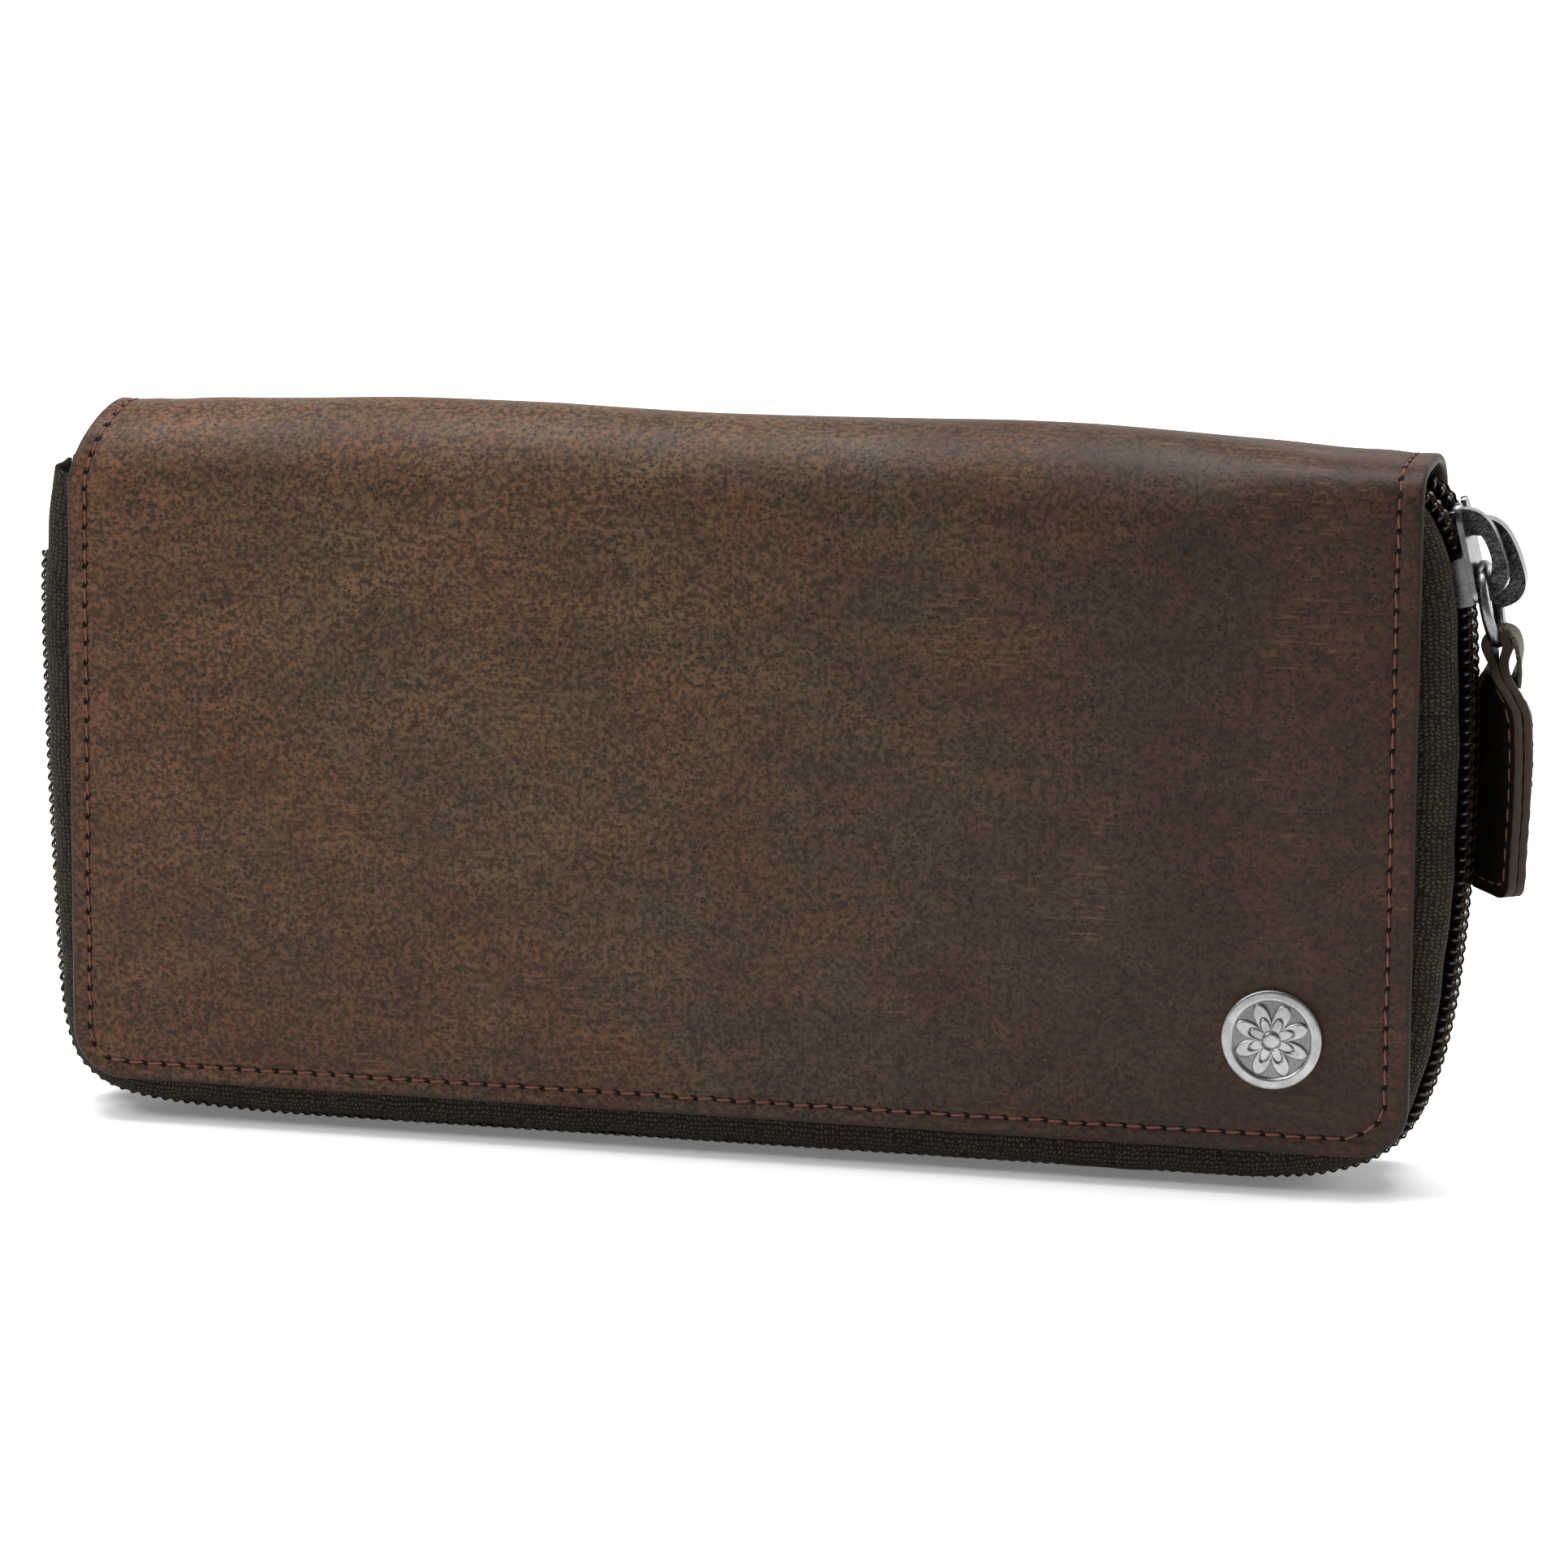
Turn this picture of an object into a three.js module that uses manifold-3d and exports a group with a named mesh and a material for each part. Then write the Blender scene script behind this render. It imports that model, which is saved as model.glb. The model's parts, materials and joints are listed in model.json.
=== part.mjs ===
// Long zip-around wallet, standing on its zip with the folded spine on top.
// Millimetres, +Z up, X along the wallet's length, the front cover faces -Y.
// The leather shell folds over a round spine. Two zip tapes run round the other three sides.
// The front cover turns about the centre of the spine's arc, and the coin pocket follows at half its angle.
import * as THREE from "three";
import { mergeVertices } from "three/addons/utils/BufferGeometryUtils.js";
import Module from "manifold-3d";

const wasm = await Module();
wasm.setup();

// ---- driving dimensions -------------------------------------------------------------------
const PANEL_WIDTH = 188;
const HALF_WIDTH = PANEL_WIDTH / 2;
const PANEL_BOTTOM = 6; // height of the covers' lower edge above the table
const PANEL_CORNER = 8;
const TOTAL_HEIGHT = 102;
const HALF_DEPTH = 12.5; // outer face of each cover
const GAP = 0.3; // air between neighbouring pieces
const SPINE_RADIUS = HALF_DEPTH;
const HINGE_Z = TOTAL_HEIGHT - SPINE_RADIUS;

const LEATHER = 1.4;
const BOARD = 0.9;
const LINING = 0.5;
const POCKET_LEATHER = 0.5;

// Depth of each layer's outer face, counted inwards from the cover's face.
const LEATHER_IN = HALF_DEPTH - LEATHER;
const BOARD_OUT = LEATHER_IN - GAP;
const LINING_OUT = BOARD_OUT - BOARD - GAP;
const LINING_IN = LINING_OUT - LINING;
const CARD_BASE_OUT = LINING_IN - GAP;
const CARD_STEP = POCKET_LEATHER + GAP;

// Up each side the zip bows outwards in an arc, so its slider moves about the arc's centre.
const ARC_RADIUS = 140; // of the chain's outer face on the right side
const ARC_X = -40;
const ARC_Z = 57;
const ZIP_CORNER = 10;
const CHAIN_OUT = 6; // from the zip's edge line out to the chain's outer face
const COIL_HEIGHT = 2;
const COIL_INNER_Y = 0.9; // the rows stay this far from the middle, so the slider's post passes
const COIL_OUTER_Y = 3.3;
const TAPE = 0.7;
const TAPE_FLAP = 4.5; // width sewn under the cover's edge
const TAPE_TOP = 88.2;
const FLEX_RADIUS = 24; // the front tape within this of the hinge stays with the slider

const INNER_HALF_WIDTH = 80; // card pockets and coin pocket
const SLIDER_Z = 85.5;

// ---- materials ----------------------------------------------------------------------------
const paint = (color, roughness, metalness = 0) =>
  new THREE.MeshStandardMaterial({ color, roughness, metalness });
const leather = paint(0x4f3a2e, 0.6);
const pullLeather = paint(0x3a2b1e, 0.65);
const board = paint(0x8a7a66, 0.9);
const lining = paint(0x2b2622, 0.95);
const pocketLeather = paint(0x46332a, 0.65);
const tapeCloth = paint(0x2a261e, 0.95);
const coilNylon = paint(0x15171a, 0.3);
const gunmetal = paint(0x85878a, 0.35, 0.9);

const wallet = new THREE.Group();

function add(name, geometry, material) {
  const mesh = new THREE.Mesh(geometry, material);
  mesh.name = name;
  wallet.add(mesh);
  return mesh;
}

// ---- solids -------------------------------------------------------------------------------
function toSolid(geometry) {
  const bare = geometry.index ? geometry.toNonIndexed() : geometry.clone();
  bare.deleteAttribute("normal");
  bare.deleteAttribute("uv");
  const merged = mergeVertices(bare, 1e-3);
  const triVerts = new Uint32Array(merged.index.array);
  const vertProperties = merged.attributes.position.array;
  return new wasm.Manifold(new wasm.Mesh({ numProp: 3, vertProperties, triVerts }));
}

function toGeometry(solid) {
  const { numProp, vertProperties, triVerts } = solid.getMesh();
  const count = vertProperties.length / numProp;
  const position = new Float32Array(count * 3);
  for (let i = 0; i < count; i++) {
    position.set(vertProperties.subarray(i * numProp, i * numProp + 3), i * 3);
  }
  const geometry = new THREE.BufferGeometry();
  geometry.setAttribute("position", new THREE.BufferAttribute(position, 3));
  geometry.setIndex(new THREE.BufferAttribute(new Uint32Array(triVerts), 1));
  return geometry;
}

function box(x0, x1, y0, y1, z0, z1) {
  const geometry = new THREE.BoxGeometry(x1 - x0, y1 - y0, z1 - z0);
  return geometry.translate((x0 + x1) / 2, (y0 + y1) / 2, (z0 + z1) / 2);
}

// A cylinder along X or Y, centred on the given point.
function cylinder(axis, radius, length, [x, y, z], sides = 32) {
  const geometry = new THREE.CylinderGeometry(radius, radius, length, sides);
  if (axis === "x") geometry.rotateZ(Math.PI / 2);
  return geometry.translate(x, y, z);
}

// An outline drawn in X and Z, made solid between two depths.
function upright(shape, y0, y1, curveSegments = 8) {
  const geometry = new THREE.ExtrudeGeometry(shape, {
    depth: y1 - y0,
    bevelEnabled: false,
    curveSegments,
  });
  return geometry.rotateX(Math.PI / 2).translate(0, y1, 0);
}

// A cover's outline: square at the spine, rounded at the two lower corners.
function coverOutline(inset, top, corner = PANEL_CORNER) {
  const x = HALF_WIDTH - inset;
  const z = PANEL_BOTTOM + inset;
  const shape = new THREE.Shape();
  shape.moveTo(-x, top);
  shape.lineTo(-x, z + corner);
  shape.absarc(-x + corner, z + corner, corner, Math.PI, 1.5 * Math.PI);
  shape.absarc(x - corner, z + corner, corner, 1.5 * Math.PI, 2 * Math.PI);
  shape.lineTo(x, top);
  return shape;
}

function rectangle(halfWidth, z0, z1) {
  const shape = new THREE.Shape();
  shape.moveTo(-halfWidth, z0);
  shape.lineTo(halfWidth, z0);
  shape.lineTo(halfWidth, z1);
  shape.lineTo(-halfWidth, z1);
  return shape;
}

// side is 1 for the back cover and -1 for the front one. inner and outer are depths above 0.
function layer(shape, side, inner, outer) {
  return side > 0 ? upright(shape, inner, outer) : upright(shape, -outer, -inner);
}

// ---- the zip's route and the sweep along it -----------------------------------------------
// Each station is a point on the zip's edge line with the outward direction there.
function zipRoute(top = TAPE_TOP) {
  const arcSteps = 7;
  const cornerSteps = 6;
  const radius = ARC_RADIUS - CHAIN_OUT;
  const cornerZ = PANEL_BOTTOM + ZIP_CORNER;
  const low = Math.asin((cornerZ - ARC_Z) / (radius - ZIP_CORNER));
  const high = Math.asin((top - ARC_Z) / radius);
  const cornerX = ARC_X + (radius - ZIP_CORNER) * Math.cos(low);
  const right = [];
  for (let i = 0; i <= cornerSteps; i++) {
    const a = -Math.PI / 2 + (i / cornerSteps) * (low + Math.PI / 2);
    right.push(station(cornerX, cornerZ, ZIP_CORNER, a));
  }
  for (let i = 1; i <= arcSteps; i++) {
    right.push(station(ARC_X, ARC_Z, radius, low + (i / arcSteps) * (high - low)));
  }
  const left = right.map((s) => ({ x: -s.x, z: s.z, nx: -s.nx, nz: s.nz })).reverse();
  return [...left, ...right];
}

function station(x, z, radius, angle) {
  const nx = Math.cos(angle);
  const nz = Math.sin(angle);
  return { x: x + radius * nx, z: z + radius * nz, nx, nz };
}

// Profile points are [distance outwards from the edge, depth], in order round the section.
function sweep(profile, stations) {
  const outline = profile.map(([d, y]) => new THREE.Vector2(d, y));
  if (THREE.ShapeUtils.isClockWise(outline)) outline.reverse();
  const n = outline.length;
  const position = [];
  for (const s of stations) {
    for (const p of outline) {
      position.push(s.x + p.x * s.nx, p.y, s.z + p.x * s.nz);
    }
  }
  const index = [];
  for (let i = 0; i + 1 < stations.length; i++) {
    for (let j = 0; j < n; j++) {
      const a = i * n + j;
      const b = i * n + ((j + 1) % n);
      index.push(a, b, a + n, b, b + n, a + n);
    }
  }
  const last = (stations.length - 1) * n;
  for (const [a, b, c] of THREE.ShapeUtils.triangulateShape(outline, [])) {
    index.push(c, b, a, last + a, last + b, last + c);
  }
  const geometry = new THREE.BufferGeometry();
  geometry.setAttribute("position", new THREE.Float32BufferAttribute(position, 3));
  geometry.setIndex(index);
  if (toSolid(geometry).volume() < 0) {
    for (let i = 0; i < index.length; i += 3) {
      [index[i], index[i + 1]] = [index[i + 1], index[i]];
    }
    geometry.setIndex(index);
  }
  return geometry;
}

// The tape's middle line from beside the coil to the end of its sewn flap.
const TAPE_LINE = [
  [4.85, COIL_OUTER_Y + GAP],
  [4.85, 5.3],
  [5.65, 6.4],
  [5.65, 7.9],
  [4.6, 9.3],
  [2.4, 10.35],
  [0, 10.5],
  [-TAPE_FLAP, 10.5],
];

function normalOf(from, to) {
  const along = to.clone().sub(from).normalize();
  return new THREE.Vector2(-along.y, along.x);
}

// The middle line thickened by half the tape each way.
function tapeProfile(side) {
  const line = TAPE_LINE.map(([d, y]) => new THREE.Vector2(d, y));
  const edge = (direction) =>
    line.map((p, i) => {
      const before = line[Math.max(i - 1, 0)];
      const after = line[Math.min(i + 1, line.length - 1)];
      const along = after.clone().sub(before).normalize();
      const across = new THREE.Vector2(-along.y, along.x);
      // A corner's offset is longer, which keeps both of its straight stretches parallel.
      const stretch = after === p || before === p ? 1 : across.dot(normalOf(before, p));
      return p.clone().addScaledVector(across, (direction * TAPE) / 2 / stretch);
    });
  return [...edge(1), ...edge(-1).reverse()].map((p) => [p.x, side * p.y]);
}

// One coil row as the smooth bar that its loops fill.
function coilProfile(side) {
  const bevel = 0.5;
  const low = CHAIN_OUT - COIL_HEIGHT;
  const points = [
    [low, COIL_INNER_Y],
    [CHAIN_OUT - bevel, COIL_INNER_Y],
    [CHAIN_OUT, COIL_INNER_Y + bevel],
    [CHAIN_OUT, COIL_OUTER_Y - bevel],
    [CHAIN_OUT - bevel, COIL_OUTER_Y],
    [low, COIL_OUTER_Y],
  ];
  return points.map(([d, y]) => [d, side * y]);
}

// ---- leather shell, boards and linings ----------------------------------------------------
const BADGE_X = 75.4;
const BADGE_Z = 22.1;
const BADGE_RADIUS = 6.85;
const BADGE_RISE = 1.3;
const POST_RADIUS = 1.2;
const WASHER_RADIUS = 4;

function drill(geometry, radius) {
  const length = 4 * HALF_DEPTH;
  return toGeometry(
    toSolid(geometry).subtract(toSolid(cylinder("y", radius, length, [BADGE_X, 0, BADGE_Z]))),
  );
}

function addCover(name, side) {
  const shellTop = HINGE_Z - GAP;
  const skin = layer(coverOutline(0, shellTop), side, LEATHER_IN, HALF_DEPTH);
  const stiffener = layer(coverOutline(12, 86, 4), side, BOARD_OUT - BOARD, BOARD_OUT);
  const isFront = side < 0;
  add(`${name}_leather`, isFront ? drill(skin, POST_RADIUS + GAP) : skin, leather);
  add(`${name}_stiffener`, isFront ? drill(stiffener, WASHER_RADIUS + GAP) : stiffener, board);
  add(`${name}_lining`, layer(coverOutline(5, 86, 8), side, LINING_IN, LINING_OUT), lining);
}

function addCardPockets(name, side) {
  const depthOf = (row) => CARD_BASE_OUT - row * CARD_STEP;
  const rows = [
    { name: "base", z0: 12 },
    { name: "pocket_lower", z0: 24 },
    { name: "pocket_upper", z0: 38 },
  ];
  rows.forEach((row, i) => {
    const outer = depthOf(i);
    const shape = rectangle(INNER_HALF_WIDTH, row.z0, 84);
    add(`${name}_card_${row.name}`, layer(shape, side, outer - POCKET_LEATHER, outer), pocketLeather);
  });
}

// Half a tube along X over the hinge line.
function arch(halfLength, innerRadius, outerRadius) {
  const clear = GAP / outerRadius;
  const shape = new THREE.Shape();
  shape.absarc(0, 0, outerRadius, clear, Math.PI - clear, false);
  shape.absarc(0, 0, innerRadius, Math.PI - clear, clear, true);
  const geometry = new THREE.ExtrudeGeometry(shape, {
    depth: 2 * halfLength,
    bevelEnabled: false,
    curveSegments: 14,
  });
  // The outline's x becomes depth, its y becomes height, and it is drawn out along X.
  geometry.applyMatrix4(new THREE.Matrix4().makeBasis(
    new THREE.Vector3(0, 1, 0),
    new THREE.Vector3(0, 0, 1),
    new THREE.Vector3(1, 0, 0),
  ));
  return geometry.translate(-halfLength, 0, HINGE_Z);
}

function addSpine() {
  add("spine_leather", arch(HALF_WIDTH, LEATHER_IN, HALF_DEPTH), leather);
  add("spine_lining", arch(HALF_WIDTH - 3.5, BOARD_OUT - LINING, BOARD_OUT), lining);
}

// ---- main zip -----------------------------------------------------------------------------
function hingeCylinder(radius) {
  return toSolid(cylinder("x", radius, 4 * HALF_WIDTH, [0, 0, HINGE_Z], 64));
}

function zipBand(profile, top = TAPE_TOP) {
  return toSolid(sweep(profile, zipRoute(top)));
}

// The part of the zip's section from the given distance outwards, on the front side.
function frontBand(from) {
  const section = [
    [from, -14],
    [8, -14],
    [8, -0.1],
    [from, -0.1],
  ];
  return zipBand(section, TAPE_TOP + 3);
}

function addBackZip() {
  add("back_zip_tape", toGeometry(zipBand(tapeProfile(1))), tapeCloth);
  add("back_zip_coil", toGeometry(zipBand(coilProfile(1))), coilNylon);
}

// Beside the hinge the front tape's outer part and its coil belong with the parked slider.
function addFrontZip() {
  const tape = zipBand(tapeProfile(-1));
  const coil = zipBand(coilProfile(-1));
  const near = hingeCylinder(FLEX_RADIUS);
  const clear = hingeCylinder(FLEX_RADIUS + GAP);
  const split = 2.4;
  add("front_zip_tape", toGeometry(tape.subtract(clear.intersect(frontBand(split)))), tapeCloth);
  add("front_zip_coil", toGeometry(coil.subtract(clear)), coilNylon);
  const end = tape.intersect(near).intersect(frontBand(split + 2 * GAP));
  const coilEnd = coil.intersect(near);
  for (const [name, side] of [["left", -1], ["right", 1]]) {
    const half = toSolid(box(Math.min(0, side * 200), Math.max(0, side * 200), -50, 50, -10, 200));
    add(`front_zip_tape_end_${name}`, toGeometry(end.intersect(half)), tapeCloth);
    add(`front_zip_coil_end_${name}`, toGeometry(coilEnd.intersect(half)), coilNylon);
  }
}

// ---- slider, ring and leather pull --------------------------------------------------------
// The slider is drawn upright about a point on the chain's outer face, then tilted into place.
const SLIDER_HALF_LENGTH = 6.5;
const SLIDER_HALF_WIDTH = 5;
const SLIDER_TILT = Math.asin((SLIDER_Z - ARC_Z) / ARC_RADIUS);
const SLIDER_X = ARC_X + ARC_RADIUS * Math.cos(SLIDER_TILT);
const BLADE_LIFT = 0.4;
const BLADE = 1.2;
const BLADE_TOP = BLADE_LIFT + BLADE;
const CROWN_RISE = 4.1;
const CROWN_HALF_WIDTH = 1.8;
const RING_TILT = (13 * Math.PI) / 180; // the bowed chain holds the hanging ring out by this
const RING_RADIUS = 5.2;
const WIRE = 1;
const PULL_LENGTH = 37.3;
const PULL_HALF_WIDTH = 6.5;
const PULL_HALF_THICKNESS = 1.5;
const NECK_HALF_WIDTH = 2.9;

function place(x, z) {
  const cos = Math.cos(SLIDER_TILT);
  const sin = Math.sin(SLIDER_TILT);
  return { x: SLIDER_X + x * cos - z * sin, z: SLIDER_Z + x * sin + z * cos };
}

const RING_PIVOT = place(BLADE_TOP + 1.85, -0.5);
const RING_CENTRE = {
  x: RING_PIVOT.x + RING_RADIUS * Math.sin(RING_TILT),
  z: RING_PIVOT.z - RING_RADIUS * Math.cos(RING_TILT),
};
const PULL_PIVOT = {
  x: 2 * RING_CENTRE.x - RING_PIVOT.x,
  z: 2 * RING_CENTRE.z - RING_PIVOT.z,
};

function bladeOutline() {
  const nose = 3.4;
  const shape = new THREE.Shape();
  shape.moveTo(-nose, -SLIDER_HALF_LENGTH);
  shape.lineTo(nose, -SLIDER_HALF_LENGTH);
  shape.lineTo(SLIDER_HALF_WIDTH, -SLIDER_HALF_LENGTH + 2);
  shape.lineTo(SLIDER_HALF_WIDTH, SLIDER_HALF_LENGTH - 3);
  shape.lineTo(nose, SLIDER_HALF_LENGTH);
  shape.lineTo(-nose, SLIDER_HALF_LENGTH);
  shape.lineTo(-SLIDER_HALF_WIDTH, SLIDER_HALF_LENGTH - 3);
  shape.lineTo(-SLIDER_HALF_WIDTH, -SLIDER_HALF_LENGTH + 2);
  return shape;
}

// An outline drawn in Y and Z, made solid from x0 to x1.
function facing(shape, x0, x1) {
  const geometry = new THREE.ExtrudeGeometry(shape, { depth: x1 - x0, bevelEnabled: false });
  geometry.applyMatrix4(new THREE.Matrix4().makeBasis(
    new THREE.Vector3(0, 1, 0),
    new THREE.Vector3(0, 0, 1),
    new THREE.Vector3(1, 0, 0),
  ));
  return geometry.translate(x0, 0, 0);
}

// The crown's side view: a D that stands on the blade.
function crownSide(x, rise, low, high) {
  const shape = new THREE.Shape();
  shape.moveTo(x, low);
  shape.bezierCurveTo(x + rise * 1.15, low, x + rise * 1.2, low + 3, x + rise, low + 4.2);
  shape.bezierCurveTo(x + rise * 0.8, high - 1.5, x + rise * 0.5, high, x, high);
  return shape;
}

function crown() {
  const outer = crownSide(BLADE_TOP - 0.2, CROWN_RISE + 0.2, -4.5, 5);
  const inner = crownSide(BLADE_TOP + 0.3, CROWN_RISE - 1.1, -2.7, 3.4);
  const room = CROWN_HALF_WIDTH + 1;
  const hole = toSolid(upright(inner, -room, room));
  return toSolid(upright(outer, -CROWN_HALF_WIDTH, CROWN_HALF_WIDTH)).subtract(hole);
}

function sliderBody() {
  const innerBlade = -COIL_HEIGHT - 0.4;
  const postTop = SLIDER_HALF_LENGTH - 0.8;
  const post = box(innerBlade - 0.5, BLADE_LIFT + 0.5, -0.6, 0.6, postTop - 3.2, postTop);
  let body = toSolid(facing(bladeOutline(), BLADE_LIFT, BLADE_TOP))
    .add(toSolid(facing(bladeOutline(), innerBlade - 1, innerBlade)))
    .add(toSolid(post))
    .add(crown());
  // The flanges leave a slot that the tape passes through.
  const [slotLow, slotHigh] = [-1.85, -0.45];
  const [z0, z1] = [-SLIDER_HALF_LENGTH + 2, 1.5];
  for (const y0 of [4, -SLIDER_HALF_WIDTH]) {
    body = body.add(toSolid(box(slotHigh, BLADE_LIFT + 0.5, y0, y0 + 1, z0, z1)));
    body = body.add(toSolid(box(innerBlade - 0.5, slotLow, y0, y0 + 1, z0, z1)));
  }
  return toGeometry(body).rotateY(-SLIDER_TILT).translate(SLIDER_X, 0, SLIDER_Z);
}

function ringSolid(wire, radialSegments, tubularSegments) {
  const geometry = new THREE.TorusGeometry(RING_RADIUS, wire, radialSegments, tubularSegments);
  return geometry.rotateY(Math.PI / 2 - RING_TILT).translate(RING_CENTRE.x, 0, RING_CENTRE.z);
}

// A strip folded round the ring's lower side, narrow at the neck, both layers sewn together.
function pullTab() {
  const eyeRadius = WIRE + 0.35;
  const loop = eyeRadius + 1.4;
  const shoulder = loop - 6.5;
  const bottom = loop - PULL_LENGTH;
  const front = pullOutline(loop, shoulder, bottom);
  const slab = toSolid(facing(front, -loop, loop));
  // The side view is a round eye that narrows to the two sewn layers.
  const side = new THREE.Shape();
  side.absarc(0, 0, loop, -0.35, Math.PI + 0.35, false);
  side.lineTo(-PULL_HALF_THICKNESS, -6);
  side.lineTo(-PULL_HALF_THICKNESS, bottom - 1);
  side.lineTo(PULL_HALF_THICKNESS, bottom - 1);
  side.lineTo(PULL_HALF_THICKNESS, -6);
  const profile = toSolid(upright(side, -PULL_HALF_WIDTH, PULL_HALF_WIDTH, 10));
  let tab = slab.intersect(profile).translate([PULL_PIVOT.x, 0, PULL_PIVOT.z]);
  tab = tab.subtract(toSolid(cylinder("y", eyeRadius, 30, [PULL_PIVOT.x, 0, PULL_PIVOT.z], 20)));
  // The eye flares at both ends, because the ring turns in it.
  for (let degrees = -40; degrees <= 40; degrees += 20) {
    const ring = ringSolid(WIRE + 0.25, 8, 28);
    ring.translate(-PULL_PIVOT.x, 0, -PULL_PIVOT.z);
    ring.rotateY((degrees * Math.PI) / 180);
    tab = tab.subtract(toSolid(ring.translate(PULL_PIVOT.x, 0, PULL_PIVOT.z)));
  }
  return toGeometry(tab);
}

function pullOutline(top, shoulder, bottom) {
  const corner = 2;
  const shape = new THREE.Shape();
  shape.moveTo(-NECK_HALF_WIDTH, top);
  shape.lineTo(-NECK_HALF_WIDTH, shoulder + 2.5);
  shape.quadraticCurveTo(-NECK_HALF_WIDTH, shoulder, -PULL_HALF_WIDTH, shoulder - 2);
  shape.lineTo(-PULL_HALF_WIDTH, bottom + corner);
  shape.absarc(-PULL_HALF_WIDTH + corner, bottom + corner, corner, Math.PI, 1.5 * Math.PI);
  shape.absarc(PULL_HALF_WIDTH - corner, bottom + corner, corner, 1.5 * Math.PI, 2 * Math.PI);
  shape.lineTo(PULL_HALF_WIDTH, shoulder - 2);
  shape.quadraticCurveTo(NECK_HALF_WIDTH, shoulder, NECK_HALF_WIDTH, shoulder + 2.5);
  shape.lineTo(NECK_HALF_WIDTH, top);
  return shape;
}

// ---- badge --------------------------------------------------------------------------------
function badgeRivet() {
  const face = HALF_DEPTH + GAP;
  const rim = 0.55;
  const points = [
    new THREE.Vector2(0, BOARD_OUT - BOARD - face),
    new THREE.Vector2(POST_RADIUS, BOARD_OUT - BOARD - face),
    new THREE.Vector2(POST_RADIUS, 0),
    new THREE.Vector2(BADGE_RADIUS, 0),
    new THREE.Vector2(BADGE_RADIUS, rim),
    new THREE.Vector2(BADGE_RADIUS - 0.5, rim + 0.35),
    new THREE.Vector2(BADGE_RADIUS / 2, BADGE_RISE - GAP - 0.02),
    new THREE.Vector2(0, BADGE_RISE - GAP),
  ];
  const geometry = new THREE.LatheGeometry(points, 32);
  return geometry.rotateX(Math.PI).translate(BADGE_X, -face, BADGE_Z);
}

function badgeWasher() {
  const disc = cylinder("y", WASHER_RADIUS, BOARD, [BADGE_X, -(BOARD_OUT - BOARD / 2), BADGE_Z]);
  return drill(disc, POST_RADIUS + GAP);
}

// ---- coin pocket between the covers -------------------------------------------------------
const COIN_FRONT = -1.5;
const COIN_BACK = 2;
const COIN_WALL = 0.6;
const COIN_ZIP_Z = 24;
const COIN_ROW = 1.1;

function addCoinPocket() {
  const half = INNER_HALF_WIDTH;
  const frontIn = COIN_FRONT + COIN_WALL;
  const backIn = COIN_BACK - COIN_WALL;
  const zipWindow = 4.5;
  const low = COIN_ZIP_Z - zipWindow;
  const high = COIN_ZIP_Z + zipWindow;
  add("coin_front_wall", box(-half, half, COIN_FRONT, frontIn, high, 80), pocketLeather);
  add("coin_front_hem", box(-half, half, COIN_FRONT, frontIn, 14, low), pocketLeather);
  add("coin_back_wall", box(-half, half, backIn, COIN_BACK, 14, 80), pocketLeather);
  add("coin_seam_spine", box(-half, half, COIN_FRONT, COIN_BACK, 80 + GAP, 82), pocketLeather);
  const seamY = [frontIn + GAP + 0.5, backIn - GAP];
  for (const [name, side] of [["left", -1], ["right", 1]]) {
    const x = side > 0 ? half - 1.5 : -half;
    add(`coin_seam_${name}`, box(x, x + 1.5, seamY[0], seamY[1], 15, 79), lining);
  }
  const tapeY = frontIn + GAP;
  const length = half - 2;
  for (const [name, side] of [["lower", -1], ["upper", 1]]) {
    const near = COIN_ZIP_Z + side * (0.6 + COIN_ROW + GAP);
    const far = COIN_ZIP_Z + side * 10;
    const z = [near, far].sort((a, b) => a - b);
    add(`coin_zip_tape_${name}`, box(-length, length, tapeY, tapeY + 0.4, ...z), tapeCloth);
    const row = [COIN_ZIP_Z + side * 0.6, COIN_ZIP_Z + side * (0.6 + COIN_ROW)];
    row.sort((a, b) => a - b);
    add(`coin_zip_coil_${name}`, box(-length, length, COIN_FRONT, tapeY + 0.4, ...row), coilNylon);
  }
}

const COIN_SLIDER_X = -70;

function addCoinSlider() {
  const x = COIN_SLIDER_X;
  const z = COIN_ZIP_Z;
  const outer = COIN_FRONT - 0.3;
  const inner = COIN_FRONT + COIN_WALL + GAP + 0.6;
  const part = (halfX, y0, y1, halfZ, dx = 0) =>
    toSolid(box(x + dx - halfX, x + dx + halfX, y0, y1, z - halfZ, z + halfZ));
  const body = part(4, outer - 0.7, outer, 3.2)
    .add(part(4, inner, inner + 0.5, 3.2))
    .add(part(1, outer - 0.3, inner + 0.3, 0.35, 2.5))
    .add(part(0.9, outer - 2.8, outer - 0.5, 2).subtract(part(2, outer - 2.2, outer - 0.69, 1.2)));
  add("coin_slider", toGeometry(body), gunmetal);
  // A flat puller whose top bar lies in the slider's loop.
  const puller = (halfWidth, z0, z1, grow = 0) =>
    toSolid(box(x - halfWidth, x + halfWidth, outer - 1.8 - grow, outer - 1.1 + grow, z0, z1));
  const link = puller(2.2, 7, z + 0.5)
    .subtract(puller(1.3, z - 4.2, z - 0.5, 1))
    .subtract(puller(1.1, 9, 12, 1));
  add("coin_puller", toGeometry(link), gunmetal);
}

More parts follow.
